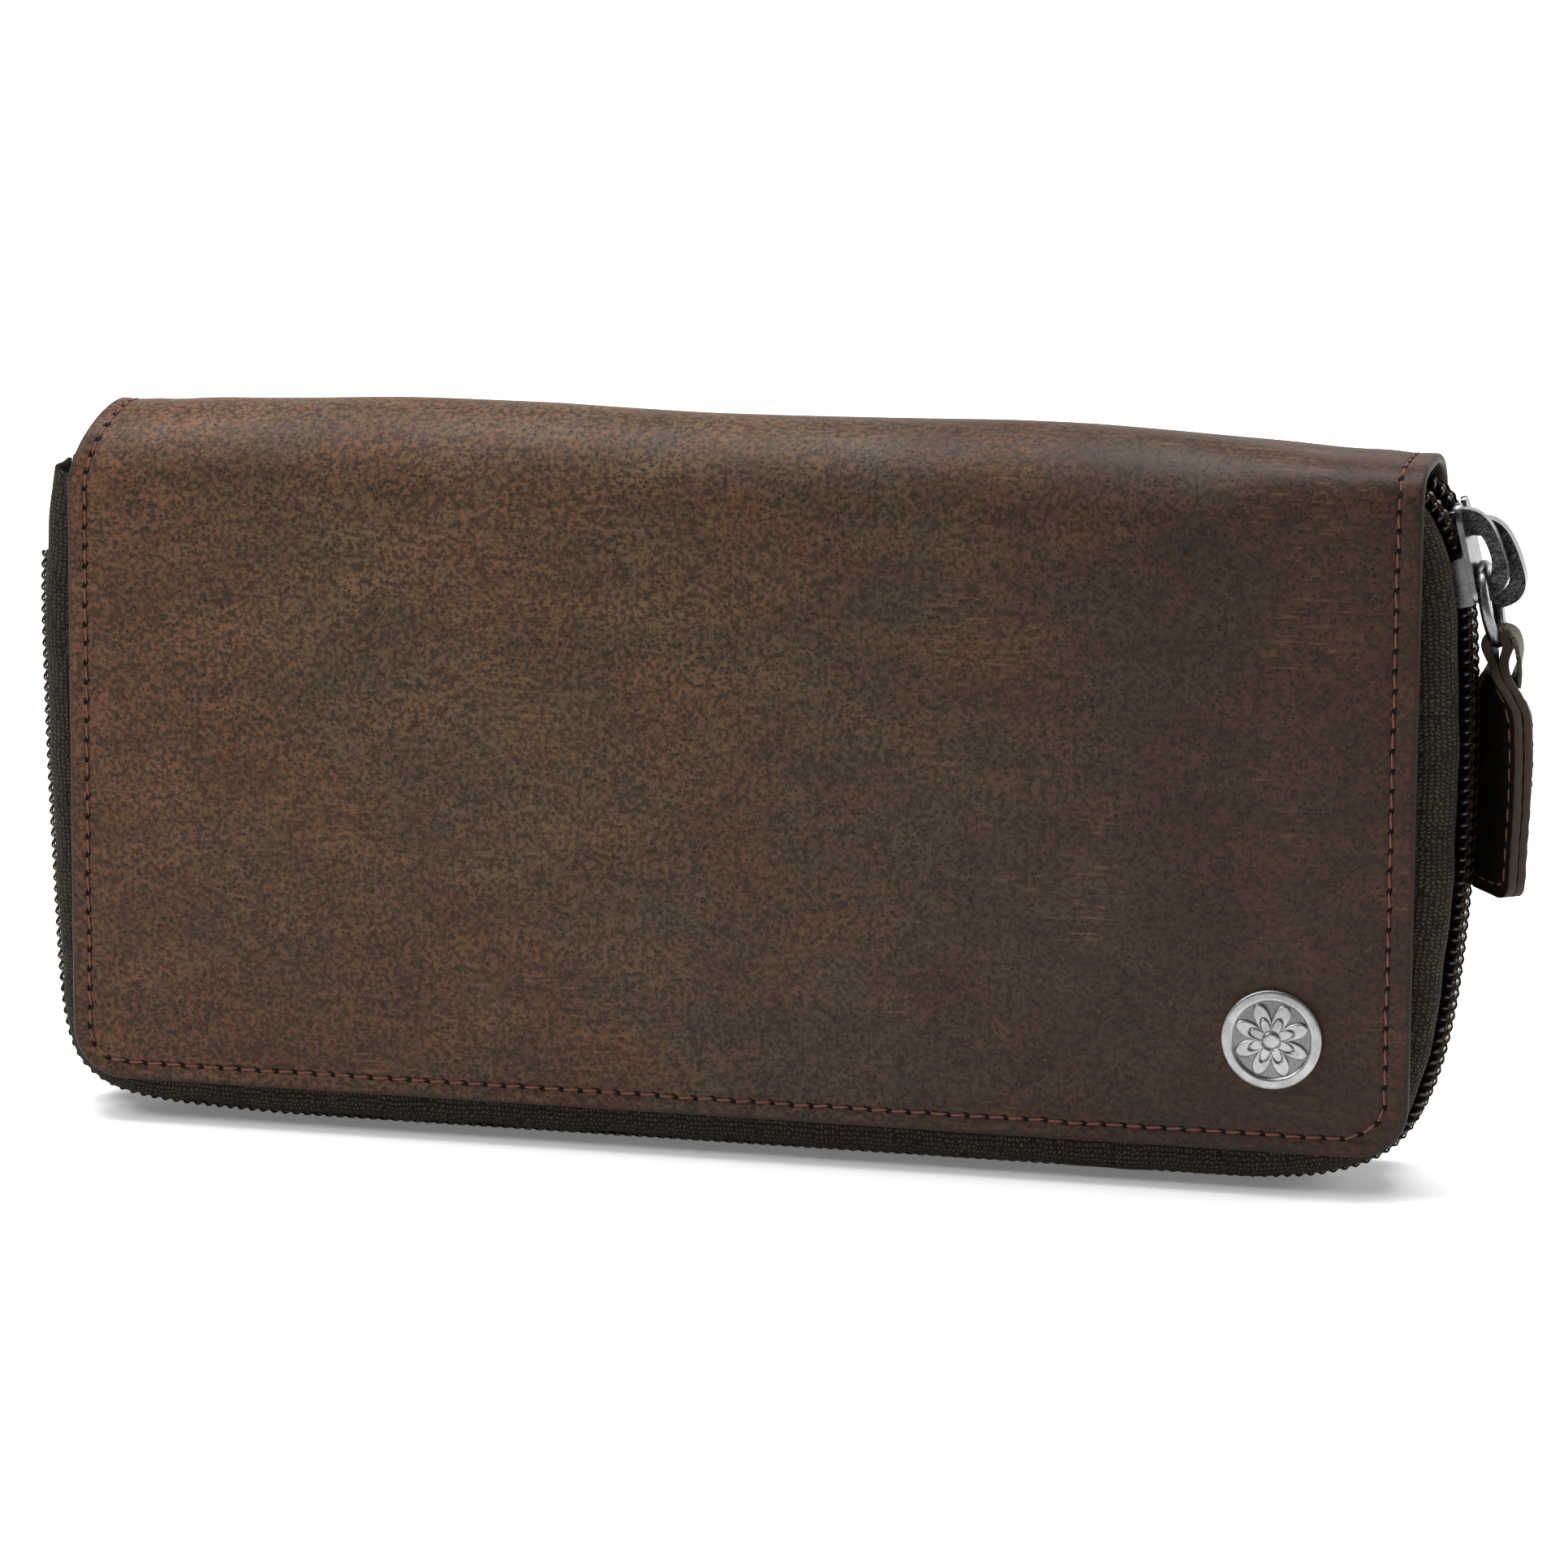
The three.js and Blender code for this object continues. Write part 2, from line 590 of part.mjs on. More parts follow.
// ---- accordion gussets at both ends -------------------------------------------------------
function gusset(side) {
  const fold = [
    [89, LINING_IN - GAP],
    [82.5, 4.4],
    [89, 0],
    [82.5, -4.4],
    [89, -(LINING_IN - GAP)],
  ];
  const thick = 1.2;
  const shape = new THREE.Shape();
  const outline = [
    ...fold.map(([x, y]) => [side * x, y]),
    ...fold.map(([x, y]) => [side * (x - thick), y]).reverse(),
  ];
  outline.forEach(([x, y], i) => (i ? shape.lineTo(x, y) : shape.moveTo(x, y)));
  const geometry = new THREE.ExtrudeGeometry(shape, { depth: 62, bevelEnabled: false });
  return geometry.translate(0, 0, 22);
}

// ---- the whole wallet ---------------------------------------------------------------------
addCover("back", 1);
addCardPockets("back", 1);
addSpine();
addBackZip();
addCover("front", -1);
addCardPockets("front", -1);
addFrontZip();
add("badge_rivet", badgeRivet(), gunmetal);
add("badge_washer", badgeWasher(), gunmetal);
add("slider_body", sliderBody(), gunmetal);
add("pull_ring", ringSolid(WIRE, 10, 32), gunmetal);
add("pull_tab", pullTab(), pullLeather);
addCoinPocket();
addCoinSlider();
add("gusset_left", gusset(-1), lining);
add("gusset_right", gusset(1), lining);

// The origin is under the middle of the whole part, which the pull's loop and the badge reach furthest.
const xHigh = PULL_PIVOT.x + WIRE + 0.35 + 1.4;
const xLow = -(ARC_X + ARC_RADIUS);
const yLow = -(HALF_DEPTH + BADGE_RISE);
wallet.position.set(-(xHigh + xLow) / 2, -(HALF_DEPTH + yLow) / 2, 0);

export default wallet;
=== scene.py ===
"""A long zip-around leather wallet, standing on its zip with the folded spine on top.

Lengths here are millimetres in the wallet's own frame: X along its length, the front at -Y, Z up from
the table, and X = Y = 0 in the middle of the spine's hinge line. to_frame() turns them into the CAD
frame's metres.
"""
import json
import math

import bmesh
import bpy
import numpy as np
from mathutils import Matrix, Vector


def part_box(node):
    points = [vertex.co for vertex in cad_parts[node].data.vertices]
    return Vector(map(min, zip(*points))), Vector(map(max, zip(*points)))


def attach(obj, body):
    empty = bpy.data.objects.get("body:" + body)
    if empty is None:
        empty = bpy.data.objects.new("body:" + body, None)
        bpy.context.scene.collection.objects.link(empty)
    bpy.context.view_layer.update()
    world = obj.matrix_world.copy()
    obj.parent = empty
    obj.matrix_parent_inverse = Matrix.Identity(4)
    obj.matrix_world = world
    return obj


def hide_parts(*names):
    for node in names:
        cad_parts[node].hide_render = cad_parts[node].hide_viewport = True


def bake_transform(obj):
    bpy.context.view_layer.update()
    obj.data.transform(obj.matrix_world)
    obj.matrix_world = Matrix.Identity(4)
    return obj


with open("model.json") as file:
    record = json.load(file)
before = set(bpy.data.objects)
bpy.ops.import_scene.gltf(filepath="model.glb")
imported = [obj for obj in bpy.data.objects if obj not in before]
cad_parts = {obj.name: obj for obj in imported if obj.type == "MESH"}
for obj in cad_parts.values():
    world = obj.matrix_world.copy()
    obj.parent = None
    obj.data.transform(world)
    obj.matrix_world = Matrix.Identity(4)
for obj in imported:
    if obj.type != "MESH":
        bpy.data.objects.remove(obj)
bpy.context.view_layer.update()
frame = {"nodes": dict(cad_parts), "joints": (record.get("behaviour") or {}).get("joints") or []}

JOINTS = {j["name"]: j for j in frame["joints"]}
ORIGIN = np.array([*JOINTS["cover_open"]["pos_m"][:2], 0.0])
MM = 0.001


def to_frame(points):
    return np.asarray(points, float) * MM + ORIGIN


def spot(x, y, z):
    return tuple(to_frame([x, y, z]))


def joint_spot(name):
    """A joint's place in the wallet's own millimetres."""
    return (np.array(JOINTS[name]["pos_m"]) - ORIGIN) / MM


def node_box(node):
    low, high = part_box(node)
    return (np.array(low) - ORIGIN) / MM, (np.array(high) - ORIGIN) / MM


def smooth(t):
    t = np.clip(t, 0.0, 1.0)
    return t * t * (3 - 2 * t)


# ---- sizes, from the frame ------------------------------------------------------------------
FRONT_LOW, FRONT_HIGH = node_box("front_leather")
HALF_WIDTH = FRONT_HIGH[0]
HALF_DEPTH = -FRONT_LOW[1]
LEATHER = FRONT_HIGH[1] - FRONT_LOW[1]
PANEL_BOTTOM = FRONT_LOW[2]
HINGE_Z = joint_spot("cover_open")[2]
STRAIGHT = HINGE_Z - PANEL_BOTTOM
ARCH = math.pi * HALF_DEPTH
SHELL_LENGTH = 2 * STRAIGHT + ARCH


# ---- camera and light -----------------------------------------------------------------------
YAW = math.radians(12.64)
PITCH = math.radians(12.1)
ROLL = math.radians(0.46)
DISTANCE = 1060
LENS = 177.0
AIM = (4.8, 0.0, 50.62)


def make_camera():
    ahead = Vector((-math.sin(YAW) * math.cos(PITCH), math.cos(YAW) * math.cos(PITCH), -math.sin(PITCH)))
    right = Vector((math.cos(YAW), math.sin(YAW), 0.0))
    up = right.cross(ahead)
    turned_right = math.cos(ROLL) * right + math.sin(ROLL) * up
    turned_up = math.cos(ROLL) * up - math.sin(ROLL) * right
    data = bpy.data.cameras.new("camera")
    data.lens = LENS
    data.sensor_width = 36
    data.clip_start = 0.05
    data.clip_end = 20
    camera = bpy.data.objects.new("camera", data)
    bpy.context.collection.objects.link(camera)
    place = Vector(spot(*AIM)) - ahead * DISTANCE * MM
    basis = Matrix((turned_right, turned_up, -ahead)).transposed()
    camera.matrix_world = Matrix.Translation(place) @ basis.to_4x4()
    bpy.context.scene.camera = camera


def area_light(name, place, aim, size, power, color=(1, 1, 1)):
    data = bpy.data.lights.new(name, "AREA")
    data.shape = "RECTANGLE"
    data.size, data.size_y = size
    data.energy = power
    data.color = color
    light = bpy.data.objects.new(name, data)
    bpy.context.collection.objects.link(light)
    light.location = place
    light.rotation_euler = (Vector(aim) - Vector(place)).to_track_quat("-Z", "Y").to_euler()


def make_lights():
    world = bpy.data.worlds.new("studio")
    world.use_nodes = True
    background = world.node_tree.nodes["Background"]
    background.inputs["Color"].default_value = (1.0, 1.0, 1.0, 1)
    background.inputs["Strength"].default_value = 0.12
    bpy.context.scene.world = world
    middle = (0, 0, 0.05)
    area_light("key", (-0.42, -0.34, 0.52), (-0.07, 0, 0.07), (0.3, 0.25), 2.3)
    area_light("top", (-0.05, 0.12, 1.0), middle, (1.3, 0.5), 23)
    area_light("rim", (0.75, 0.30, 0.32), (0.1, 0, 0.07), (0.35, 0.5), 2.2)
    bpy.context.scene.view_settings.view_transform = "Standard"


# ---- node materials -------------------------------------------------------------------------
class Shader:
    """A material whose nodes are added one by one. An input is a socket, a node or a plain value."""

    def __init__(self, name, **principled):
        self.material = bpy.data.materials.new(name)
        self.material.use_nodes = True
        self.tree = self.material.node_tree
        self.surface = self.tree.nodes["Principled BSDF"]
        self.set(self.surface, principled)

    def set(self, node, inputs):
        for key, value in inputs.items():
            name = key.replace("_", " ").title().replace("Ior", "IOR") if isinstance(key, str) else key
            socket = node.inputs[name]
            if isinstance(value, bpy.types.Node):
                value = value.outputs[0]
            if isinstance(value, bpy.types.NodeSocket):
                self.tree.links.new(value, socket)
            else:
                socket.default_value = value

    def add(self, kind, inputs=None, **settings):
        node = self.tree.nodes.new("ShaderNode" + kind)
        for key, value in settings.items():
            setattr(node, key, value)
        self.set(node, inputs or {})
        return node

    def math(self, operation, a, b=0.0, c=0.0):
        return self.add("Math", {0: a, 1: b, 2: c}, operation=operation)

    def plus(self, a, b, weight):
        return self.math("ADD", a, self.math("MULTIPLY", b, weight))

    def average(self, a, b):
        return self.plus(self.math("MULTIPLY", a, 0.5), b, 0.5)

    def wave(self, value, frequency):
        """A sine wave between 0 and 1."""
        return self.math("MULTIPLY_ADD", self.math("SINE", self.math("MULTIPLY", value, frequency)), 0.5, 0.5)

    def ramp(self, value, low, high, to_low=0.0, to_high=1.0):
        inputs = {"value": value, 1: low, 2: high, 3: to_low, 4: to_high}
        return self.add("MapRange", inputs, interpolation_type="SMOOTHSTEP")

    def mix(self, factor, a, b):
        return self.add("Mix", {0: factor, 6: a, 7: b}, data_type="RGBA").outputs[2]

    def coords(self, source):
        return self.add("TexCoord").outputs[source]

    def mapping(self, vector, scale=(1, 1, 1), turn=0.0):
        return self.add("Mapping", {"vector": vector, "scale": scale, "rotation": (0, 0, turn)})

    def object_millimetres(self):
        return self.mapping(self.coords("Object"), scale=(1 / MM,) * 3)

    def warp(self, vector, scale, amount):
        """The vector, pushed about by a soft noise."""
        drift = self.add("TexNoise", {"vector": vector, "scale": scale, "detail": 2.0}).outputs["Color"]
        shift = self.add("VectorMath", {0: drift, 1: amount}, operation="MULTIPLY")
        return self.add("VectorMath", {0: vector, 1: shift}, operation="ADD")

    def noise(self, vector, scale, detail=2.0, rough=0.5, distortion=0.0):
        inputs = {"vector": vector, "scale": scale, "detail": detail, "roughness": rough}
        return self.add("TexNoise", {**inputs, "distortion": distortion}).outputs[0]

    def voronoi(self, vector, scale, randomness=1.0, feature="F1"):
        inputs = {"vector": vector, "scale": scale, "randomness": randomness}
        return self.add("TexVoronoi", inputs, feature=feature)

    def bump(self, height, strength, distance, normal=None):
        inputs = {"height": height, "strength": strength, "distance": distance}
        if normal is not None:
            inputs["normal"] = normal
        return self.add("Bump", inputs)

    def finish(self, **principled):
        self.set(self.surface, principled)
        return self.material


def rgb(r, g, b):
    return (r, g, b, 1.0)


def leather_material(name, green, red, dark, end=0.0, low=0.0, pores=1.0, rough=0.5):
    """Waxed pull-up leather: cloudy browns, fine dark pores in drifts, thin veins and a few pale flecks."""
    s = Shader(name, specular_ior_level=0.11)
    place = s.coords("UV")
    warped = s.warp(place, 0.11, (1.1, 1.1, 1.1))
    clouds = s.noise(place, 0.035, 5.0, 0.62, 0.4)
    blotches = s.noise(warped, 0.16, 4.0, 0.65)
    tone = s.mix(s.ramp(clouds, 0.40, 0.70, 0.0, 0.8), green, red)
    tone = s.mix(s.ramp(blotches, 0.38, 0.7, 0.0, 0.45), tone, red)
    if end:
        # The hide is redder near both ends. Towards the wallet's right-hand end and its foot it is darkened
        # with painted shade, where the light falls off.
        parts = s.add("SeparateXYZ", {"vector": warped})
        near_end = s.ramp(s.math("ABSOLUTE", parts.outputs[0]), 52, 96, 0.0, 0.85)
        tone = s.mix(near_end, tone, red)
        tone = s.mix(s.ramp(parts.outputs[0], -35, 85, 0.0, end), tone, dark)
        tone = s.mix(s.ramp(parts.outputs[1], 75, 5, 0.0, low), tone, dark)
    shade = s.noise(s.mapping(place, (0.6, 1.5, 1.0), 0.7), 0.09, 4.0, 0.6)
    tone = s.mix(s.ramp(shade, 0.3, 0.72, 0.42, 0.0), tone, dark)
    grain = s.noise(warped, 1.35, 4.0, 0.72)
    tone = s.mix(s.ramp(grain, 0.40, 0.60, 0.85, 0.0), tone, dark)
    cells = s.voronoi(warped, 1.2, 0.9)
    pore = s.ramp(cells.outputs["Distance"], 0.15, 0.31, 1.0, 0.0)
    crowd = s.ramp(s.noise(s.mapping(place, (1, 0.6, 1), -0.6), 0.14, 3.0, 0.6), 0.32, 0.6, 0.30, 1.0)
    pore = s.math("MULTIPLY", pore, crowd)
    tone = s.mix(s.math("MULTIPLY", pore, 0.92 * pores), tone, rgb(0.010, 0.009, 0.008))
    vein = s.voronoi(s.mapping(warped, (1.0, 0.5, 1.0), 0.6), 0.36, 1.0, "DISTANCE_TO_EDGE")
    broken = s.ramp(s.noise(place, 0.35, 2.0, 0.6), 0.46, 0.64, 0.0, 0.62)
    vein = s.math("MULTIPLY", s.ramp(vein.outputs["Distance"], 0.0, 0.065, 1.0, 0.0), broken)
    tone = s.mix(vein, tone, dark)
    fleck = s.voronoi(place, 0.62, 1.0)
    fleck = s.ramp(fleck.outputs["Distance"], 0.035, 0.075, 0.45, 0.0)
    tone = s.mix(fleck, tone, rgb(0.24, 0.17, 0.11))
    scuff = s.noise(s.mapping(place, (0.16, 1.5, 1), 0.12), 1.0, 4.0, 0.78)
    rubbed = s.ramp(s.noise(place, 0.045, 2.0), 0.48, 0.66, 0.0, 1.0)
    scuff = s.math("MULTIPLY", s.ramp(scuff, 0.50, 0.72, 0.0, 0.5), rubbed)
    tone = s.mix(scuff, tone, rgb(0.19, 0.095, 0.05))
    # The rim attribute darkens the shell's cut edge, partly its own darker edge and partly painted shade, and
    # its inner face as painted shade.
    rim = s.add("Attribute", attribute_name="rim").outputs["Fac"]
    tone = s.mix(s.math("MULTIPLY", rim, 0.75), tone, dark)
    height = s.math("SUBTRACT", s.math("MULTIPLY", grain, 0.6), s.math("MULTIPLY", pore, 0.9 * pores))
    height = s.math("SUBTRACT", height, s.math("MULTIPLY", vein, 0.9))
    fine = s.bump(height, 0.35, 0.00012)
    soft = s.bump(blotches, 0.25, 0.0006, fine)
    gloss = s.ramp(s.average(clouds, grain), 0.35, 0.65, rough - 0.06, rough + 0.1)
    return s.finish(base_color=tone, roughness=gloss, normal=soft)


def tape_material(name, base, light):
    """Dense herringbone tape. U runs along the tape and V across it, both in millimetres."""
    s = Shader(name, roughness=0.85, specular_ior_level=0.1)
    place = s.coords("UV")
    warped = s.warp(place, 0.9, (0.22, 0.12, 0.0))
    parts = s.add("SeparateXYZ", {"vector": warped})
    wale = s.math("PINGPONG", s.math("MULTIPLY", parts.outputs[1], 1.2), 0.5)
    lean = s.math("ADD", parts.outputs[0], s.math("MULTIPLY", wale, 0.55))
    knit = s.add("CombineXYZ", {0: lean, 1: parts.outputs[1]})
    cell = s.voronoi(s.mapping(knit, (1.75, 1.35, 1.0)), 1.0, 0.45, "DISTANCE_TO_EDGE")
    loop = s.ramp(cell.outputs["Distance"], 0.02, 0.30)
    course = s.wave(lean, 3.8 * math.pi)
    yarn = s.math("MULTIPLY_ADD", loop, 0.75, s.math("MULTIPLY", course, 0.25))
    fuzz = s.noise(place, 7.0, 3.0, 0.7)
    height = s.plus(yarn, fuzz, 0.35)
    patch = s.noise(place, 0.25, 3.0, 0.6)
    # Darker in the knit's gaps and lighter on its loops, following the yarn's height: painted shade and
    # painted highlight.
    tone = s.mix(s.ramp(height, 0.25, 1.2), base, light)
    tone = s.mix(s.ramp(patch, 0.35, 0.7, 0.0, 0.35), tone, base)
    speck = s.voronoi(place, 1.9, 1.0)
    tone = s.mix(s.ramp(speck.outputs["Distance"], 0.02, 0.07, 0.4, 0.0), tone, rgb(0.16, 0.13, 0.085))
    return s.finish(base_color=tone, normal=s.bump(height, 0.9, 0.0003))


def cloth_material(name, base, light):
    """Plain-woven lining."""
    s = Shader(name, roughness=0.9, specular_ior_level=0.08)
    threads = 2.6
    place = s.coords("UV")
    parts = s.add("SeparateXYZ", {"vector": place})
    warp = s.math("SINE", s.math("MULTIPLY", parts.outputs[0], threads * math.pi))
    weft = s.math("SINE", s.math("MULTIPLY", parts.outputs[1], threads * math.pi))
    weave = s.math("MULTIPLY_ADD", s.math("MULTIPLY", warp, weft), 0.5, 0.5)
    slub = s.noise(s.mapping(place, (0.15, 1.6, 1)), 0.8, 3.0, 0.7)
    height = s.plus(weave, slub, 0.5)
    tone = s.mix(s.ramp(height, 0.2, 1.3), base, light)
    return s.finish(base_color=tone, normal=s.bump(height, 0.5, 0.00012))


def nylon_material():
    s = Shader("zip_nylon", specular_ior_level=0.45)
    place = s.coords("UV")
    haze = s.noise(place, 1.3, 3.0, 0.6)
    tone = s.mix(haze, rgb(0.003, 0.003, 0.003), rgb(0.010, 0.010, 0.009))
    gloss = s.ramp(haze, 0.3, 0.7, 0.16, 0.30)
    return s.finish(base_color=tone, roughness=gloss, normal=s.bump(haze, 0.15, 0.00008))


def thread_material(name, base, light):
    """Twisted sewing thread. U runs along it and V round it, in millimetres."""
    s = Shader(name, roughness=0.75, specular_ior_level=0.08)
    place = s.coords("UV")
    parts = s.add("SeparateXYZ", {"vector": place})
    twist = s.math("MULTIPLY_ADD", parts.outputs[0], 3.2, s.math("MULTIPLY", parts.outputs[1], 1.6))
    ply = s.wave(twist, 2 * math.pi)
    fuzz = s.noise(place, 5.0, 3.0, 0.7)
    height = s.plus(ply, fuzz, 0.4)
    tone = s.mix(s.ramp(height, 0.2, 1.2), base, light)
    return s.finish(base_color=tone, normal=s.bump(height, 0.6, 0.00008))


def metal_material(name, dark, bright, rough, hammered=0.0):
    """Antique plated zinc: cloudy tone, fine pits and hairline scratches."""
    s = Shader(name, metallic=1.0)
    place = s.object_millimetres()
    clouds = s.noise(place, 0.55, 4.0, 0.6)
    pits = s.noise(place, 3.2, 3.0, 0.75)
    scratch = s.noise(s.mapping(place, (0.25, 1.0, 3.0), 0.5), 3.5, 3.0, 0.7)
    tone = s.mix(s.ramp(s.average(clouds, pits), 0.35, 0.65), dark, bright)
    gloss = s.ramp(s.average(pits, scratch), 0.35, 0.68, rough - 0.07, rough + 0.12)
    fine = s.bump(scratch, 0.12, 0.00005)
    dents = s.bump(s.noise(place, 1.6, 2.0, 0.6), 0.02 + hammered, 0.00025, fine)
    return s.finish(base_color=tone, roughness=gloss, normal=dents)


def edge_material(name, base, light):
    """The raw cut edge of leather: fibrous, in fine layers."""
    s = Shader(name, roughness=0.8, specular_ior_level=0.3)
    place = s.coords("UV")
    fibre = s.noise(s.mapping(place, (0.5, 3.0, 3.0)), 1.6, 4.0, 0.75)
    clump = s.noise(place, 0.5, 3.0, 0.6)
    tone = s.mix(s.ramp(fibre, 0.3, 0.7), base, light)
    tone = s.mix(s.ramp(clump, 0.4, 0.7, 0.0, 0.5), tone, base)
    return s.finish(base_color=tone, normal=s.bump(fibre, 0.6, 0.00015))


def board_material():
    s = Shader("stiffener_board", roughness=0.9, specular_ior_level=0.2)
    place = s.object_millimetres()
    pulp = s.noise(place, 1.2, 4.0, 0.7)
    tone = s.mix(s.ramp(pulp, 0.3, 0.7), rgb(0.20, 0.15, 0.10), rgb(0.30, 0.24, 0.17))
    return s.finish(base_color=tone, normal=s.bump(pulp, 0.4, 0.0001))


def floor_material():
    s = Shader("pale_floor", roughness=0.75, specular_ior_level=0.1)
    place = s.coords("Object")
    mottle = s.noise(s.mapping(place, scale=(6, 6, 6)), 1.0, 2.0)
    tone = s.mix(mottle, rgb(0.94, 0.94, 0.94), rgb(0.96, 0.96, 0.96))
    # The floor is greyer well in front, to keep its bounce off the cover, and is lit from below far behind.
    # Round the wallet's foot it glows a little too, a painted light that lifts the contact shadow.
    depth = s.add("SeparateXYZ", {"vector": place}).outputs[1]
    tone = s.mix(s.ramp(depth, -0.48, -0.30), rgb(0.30, 0.30, 0.30), tone)
    glow = s.math("ADD", s.ramp(depth, -0.14, 0.06, 0.0, 0.22), s.ramp(depth, 0.25, 1.1, 0.0, 0.25))
    return s.finish(base_color=tone, emission_color=tone, emission_strength=glow)


def backdrop_material():
    """The lit white cloth round the floor: bright behind the wallet, dimmer on the camera's side."""
    s = Shader("lit_backdrop", roughness=0.9, specular_ior_level=0.0)
    place = s.coords("Object")
    depth = s.add("SeparateXYZ", {"vector": place}).outputs[1]
    glow = s.ramp(depth, -0.6, 0.9, 0.06, 1.02)
    mottle = s.noise(s.mapping(place, scale=(3, 3, 3)), 1.0, 2.0)
    tone = s.mix(mottle, rgb(0.97, 0.97, 0.97), rgb(1.0, 1.0, 1.0))
    return s.finish(base_color=rgb(0.5, 0.5, 0.5), emission_color=tone, emission_strength=glow)


LEATHER_GREEN = rgb(0.112, 0.074, 0.043)
LEATHER_RED = rgb(0.148, 0.066, 0.036)
LEATHER_DARK = rgb(0.020, 0.013, 0.009)
# The last two values set the painted shade towards the shell's right-hand end and its foot.
SHELL_LEATHER = leather_material("shell_leather", LEATHER_GREEN, LEATHER_RED, LEATHER_DARK, 0.64, 0.24)
POCKET_LEATHER = leather_material("pocket_leather", rgb(0.080, 0.050, 0.031), rgb(0.100, 0.046, 0.027),
                                  LEATHER_DARK)
PULL_LEATHER = leather_material("pull_leather", rgb(0.135, 0.132, 0.088), rgb(0.100, 0.090, 0.056),
                                LEATHER_DARK)
# The pull's faces turned to the wallet: a darker copy of the pull leather, painted shade.
PULL_SHADED_SIDE = leather_material("pull_painted_shade_side", rgb(0.008, 0.006, 0.003), rgb(0.012, 0.007, 0.003),
                            rgb(0.002, 0.0015, 0.001))
RAW_EDGE = edge_material("raw_edge", rgb(0.013, 0.008, 0.005), rgb(0.052, 0.031, 0.016))
TAPE = tape_material("zip_tape", rgb(0.006, 0.0045, 0.0032), rgb(0.060, 0.047, 0.033))
LINING = cloth_material("lining_cloth", rgb(0.009, 0.0072, 0.006), rgb(0.034, 0.027, 0.021))
NYLON = nylon_material()
THREAD = thread_material("sewing_thread", rgb(0.070, 0.024, 0.016), rgb(0.250, 0.115, 0.085))
# Near-black for the needle holes' cups: painted shade.
HOLE_SHADE = thread_material("needle_hole_painted_shade", rgb(0.003, 0.002, 0.0015), rgb(0.007, 0.004, 0.003))
COIL_THREAD = thread_material("coil_thread", rgb(0.012, 0.007, 0.004), rgb(0.055, 0.033, 0.016))
CORD = thread_material("filler_cord", rgb(0.003, 0.003, 0.003), rgb(0.010, 0.008, 0.007))
GUNMETAL = metal_material("gunmetal", rgb(0.12, 0.12, 0.12), rgb(0.22, 0.22, 0.22), 0.26)
# A darker copy of the gunmetal for the lugs' flat sides: painted shade.
SHADED_GUNMETAL = metal_material("gunmetal_painted_shade", rgb(0.018, 0.018, 0.018), rgb(0.085, 0.085, 0.085), 0.36, 0.8)
BOARD = board_material()


# ---- mesh building --------------------------------------------------------------------------
def build(name, verts, faces, materials, uv, slots=None):
    """A mesh object from millimetre points, with a UV of its own in millimetres."""
    mesh = bpy.data.meshes.new(name)
    mesh.from_pydata(to_frame(verts).tolist(), [], [tuple(int(i) for i in f) for f in faces])
    corner = np.empty(len(mesh.loops), np.int32)
    mesh.loops.foreach_get("vertex_index", corner)
    layer = mesh.uv_layers.new(name="UVMap")
    layer.data.foreach_set("uv", np.asarray(uv, float)[corner].ravel())
    for material in materials if isinstance(materials, (list, tuple)) else [materials]:
        mesh.materials.append(material)
    if slots is not None:
        mesh.polygons.foreach_set("material_index", np.asarray(slots, np.int32))
    mesh.shade_smooth()
    mesh.validate()
    piece = bpy.data.objects.new(name, mesh)
    bpy.context.collection.objects.link(piece)
    return piece


def tidy_normals(piece):
    clean = bmesh.new()
    clean.from_mesh(piece.data)
    bmesh.ops.recalc_face_normals(clean, faces=clean.faces)
    clean.to_mesh(piece.data)
    clean.free()


class Parts:
    """Collects many small surfaces into one mesh."""

    def __init__(self):
        self.verts, self.faces, self.uv, self.slots = [], [], [], []

    def add(self, verts, faces, uv, slot=0):
        start = len(self.verts)
        self.verts.extend(np.asarray(verts, float).tolist())
        self.uv.extend(np.asarray(uv, float).tolist())
        self.faces.extend([tuple(start + i for i in f) for f in faces])
        self.slots.extend([slot] * len(faces))

    def build(self, name, materials):
        return build(name, self.verts, self.faces, materials, self.uv, self.slots)


def grid_faces(rows, columns):
    """The faces of a grid of points whose columns go round."""
    faces = []
    for i in range(rows - 1):
        for j in range(columns):
            k = (j + 1) % columns
            faces.append((i * columns + j, i * columns + k, (i + 1) * columns + k, (i + 1) * columns + j))
    return faces


def strip_faces(rows, columns):
    """The faces of a thin closed strip: round its flat section all along it, and over its two ends."""
    faces = grid_faces(rows, columns)
    last = (rows - 1) * columns
    for j in range(columns // 2 - 1):
        k = columns - 1 - j
        faces.append((j, k, k - 1, j + 1))
        faces.append((last + j, last + j + 1, last + k - 1, last + k))
    return faces


def build_sheet(name, front, back, flat, back_shift, material):
    """A thin sheet from the points of its two faces. The back's UV is shifted clear of the front's."""
    loop = np.concatenate([front, back[:, ::-1]], 1)
    uv = np.concatenate([flat, (flat + back_shift)[:, ::-1]], 1)
    return build(name, loop.reshape(-1, 3), strip_faces(*loop.shape[:2]), material, uv.reshape(-1, 2))


def end_faces(rows, columns):
    """The two faces that close the ends of such a grid."""
    last = (rows - 1) * columns
    return [tuple(range(columns))[::-1], tuple(last + j for j in range(columns))]


def unit(v):
    v = np.asarray(v, float)
    return v / np.maximum(np.linalg.norm(v, axis=-1, keepdims=True), 1e-12)


def lengths_along(points):
    """The distance along a polyline at each of its points."""
    return np.concatenate([[0], np.cumsum(np.linalg.norm(np.diff(points, axis=0), axis=1))])


def points_at(lengths, along, points):
    return np.stack([np.interp(lengths, along, points[:, k]) for k in range(2)], -1)


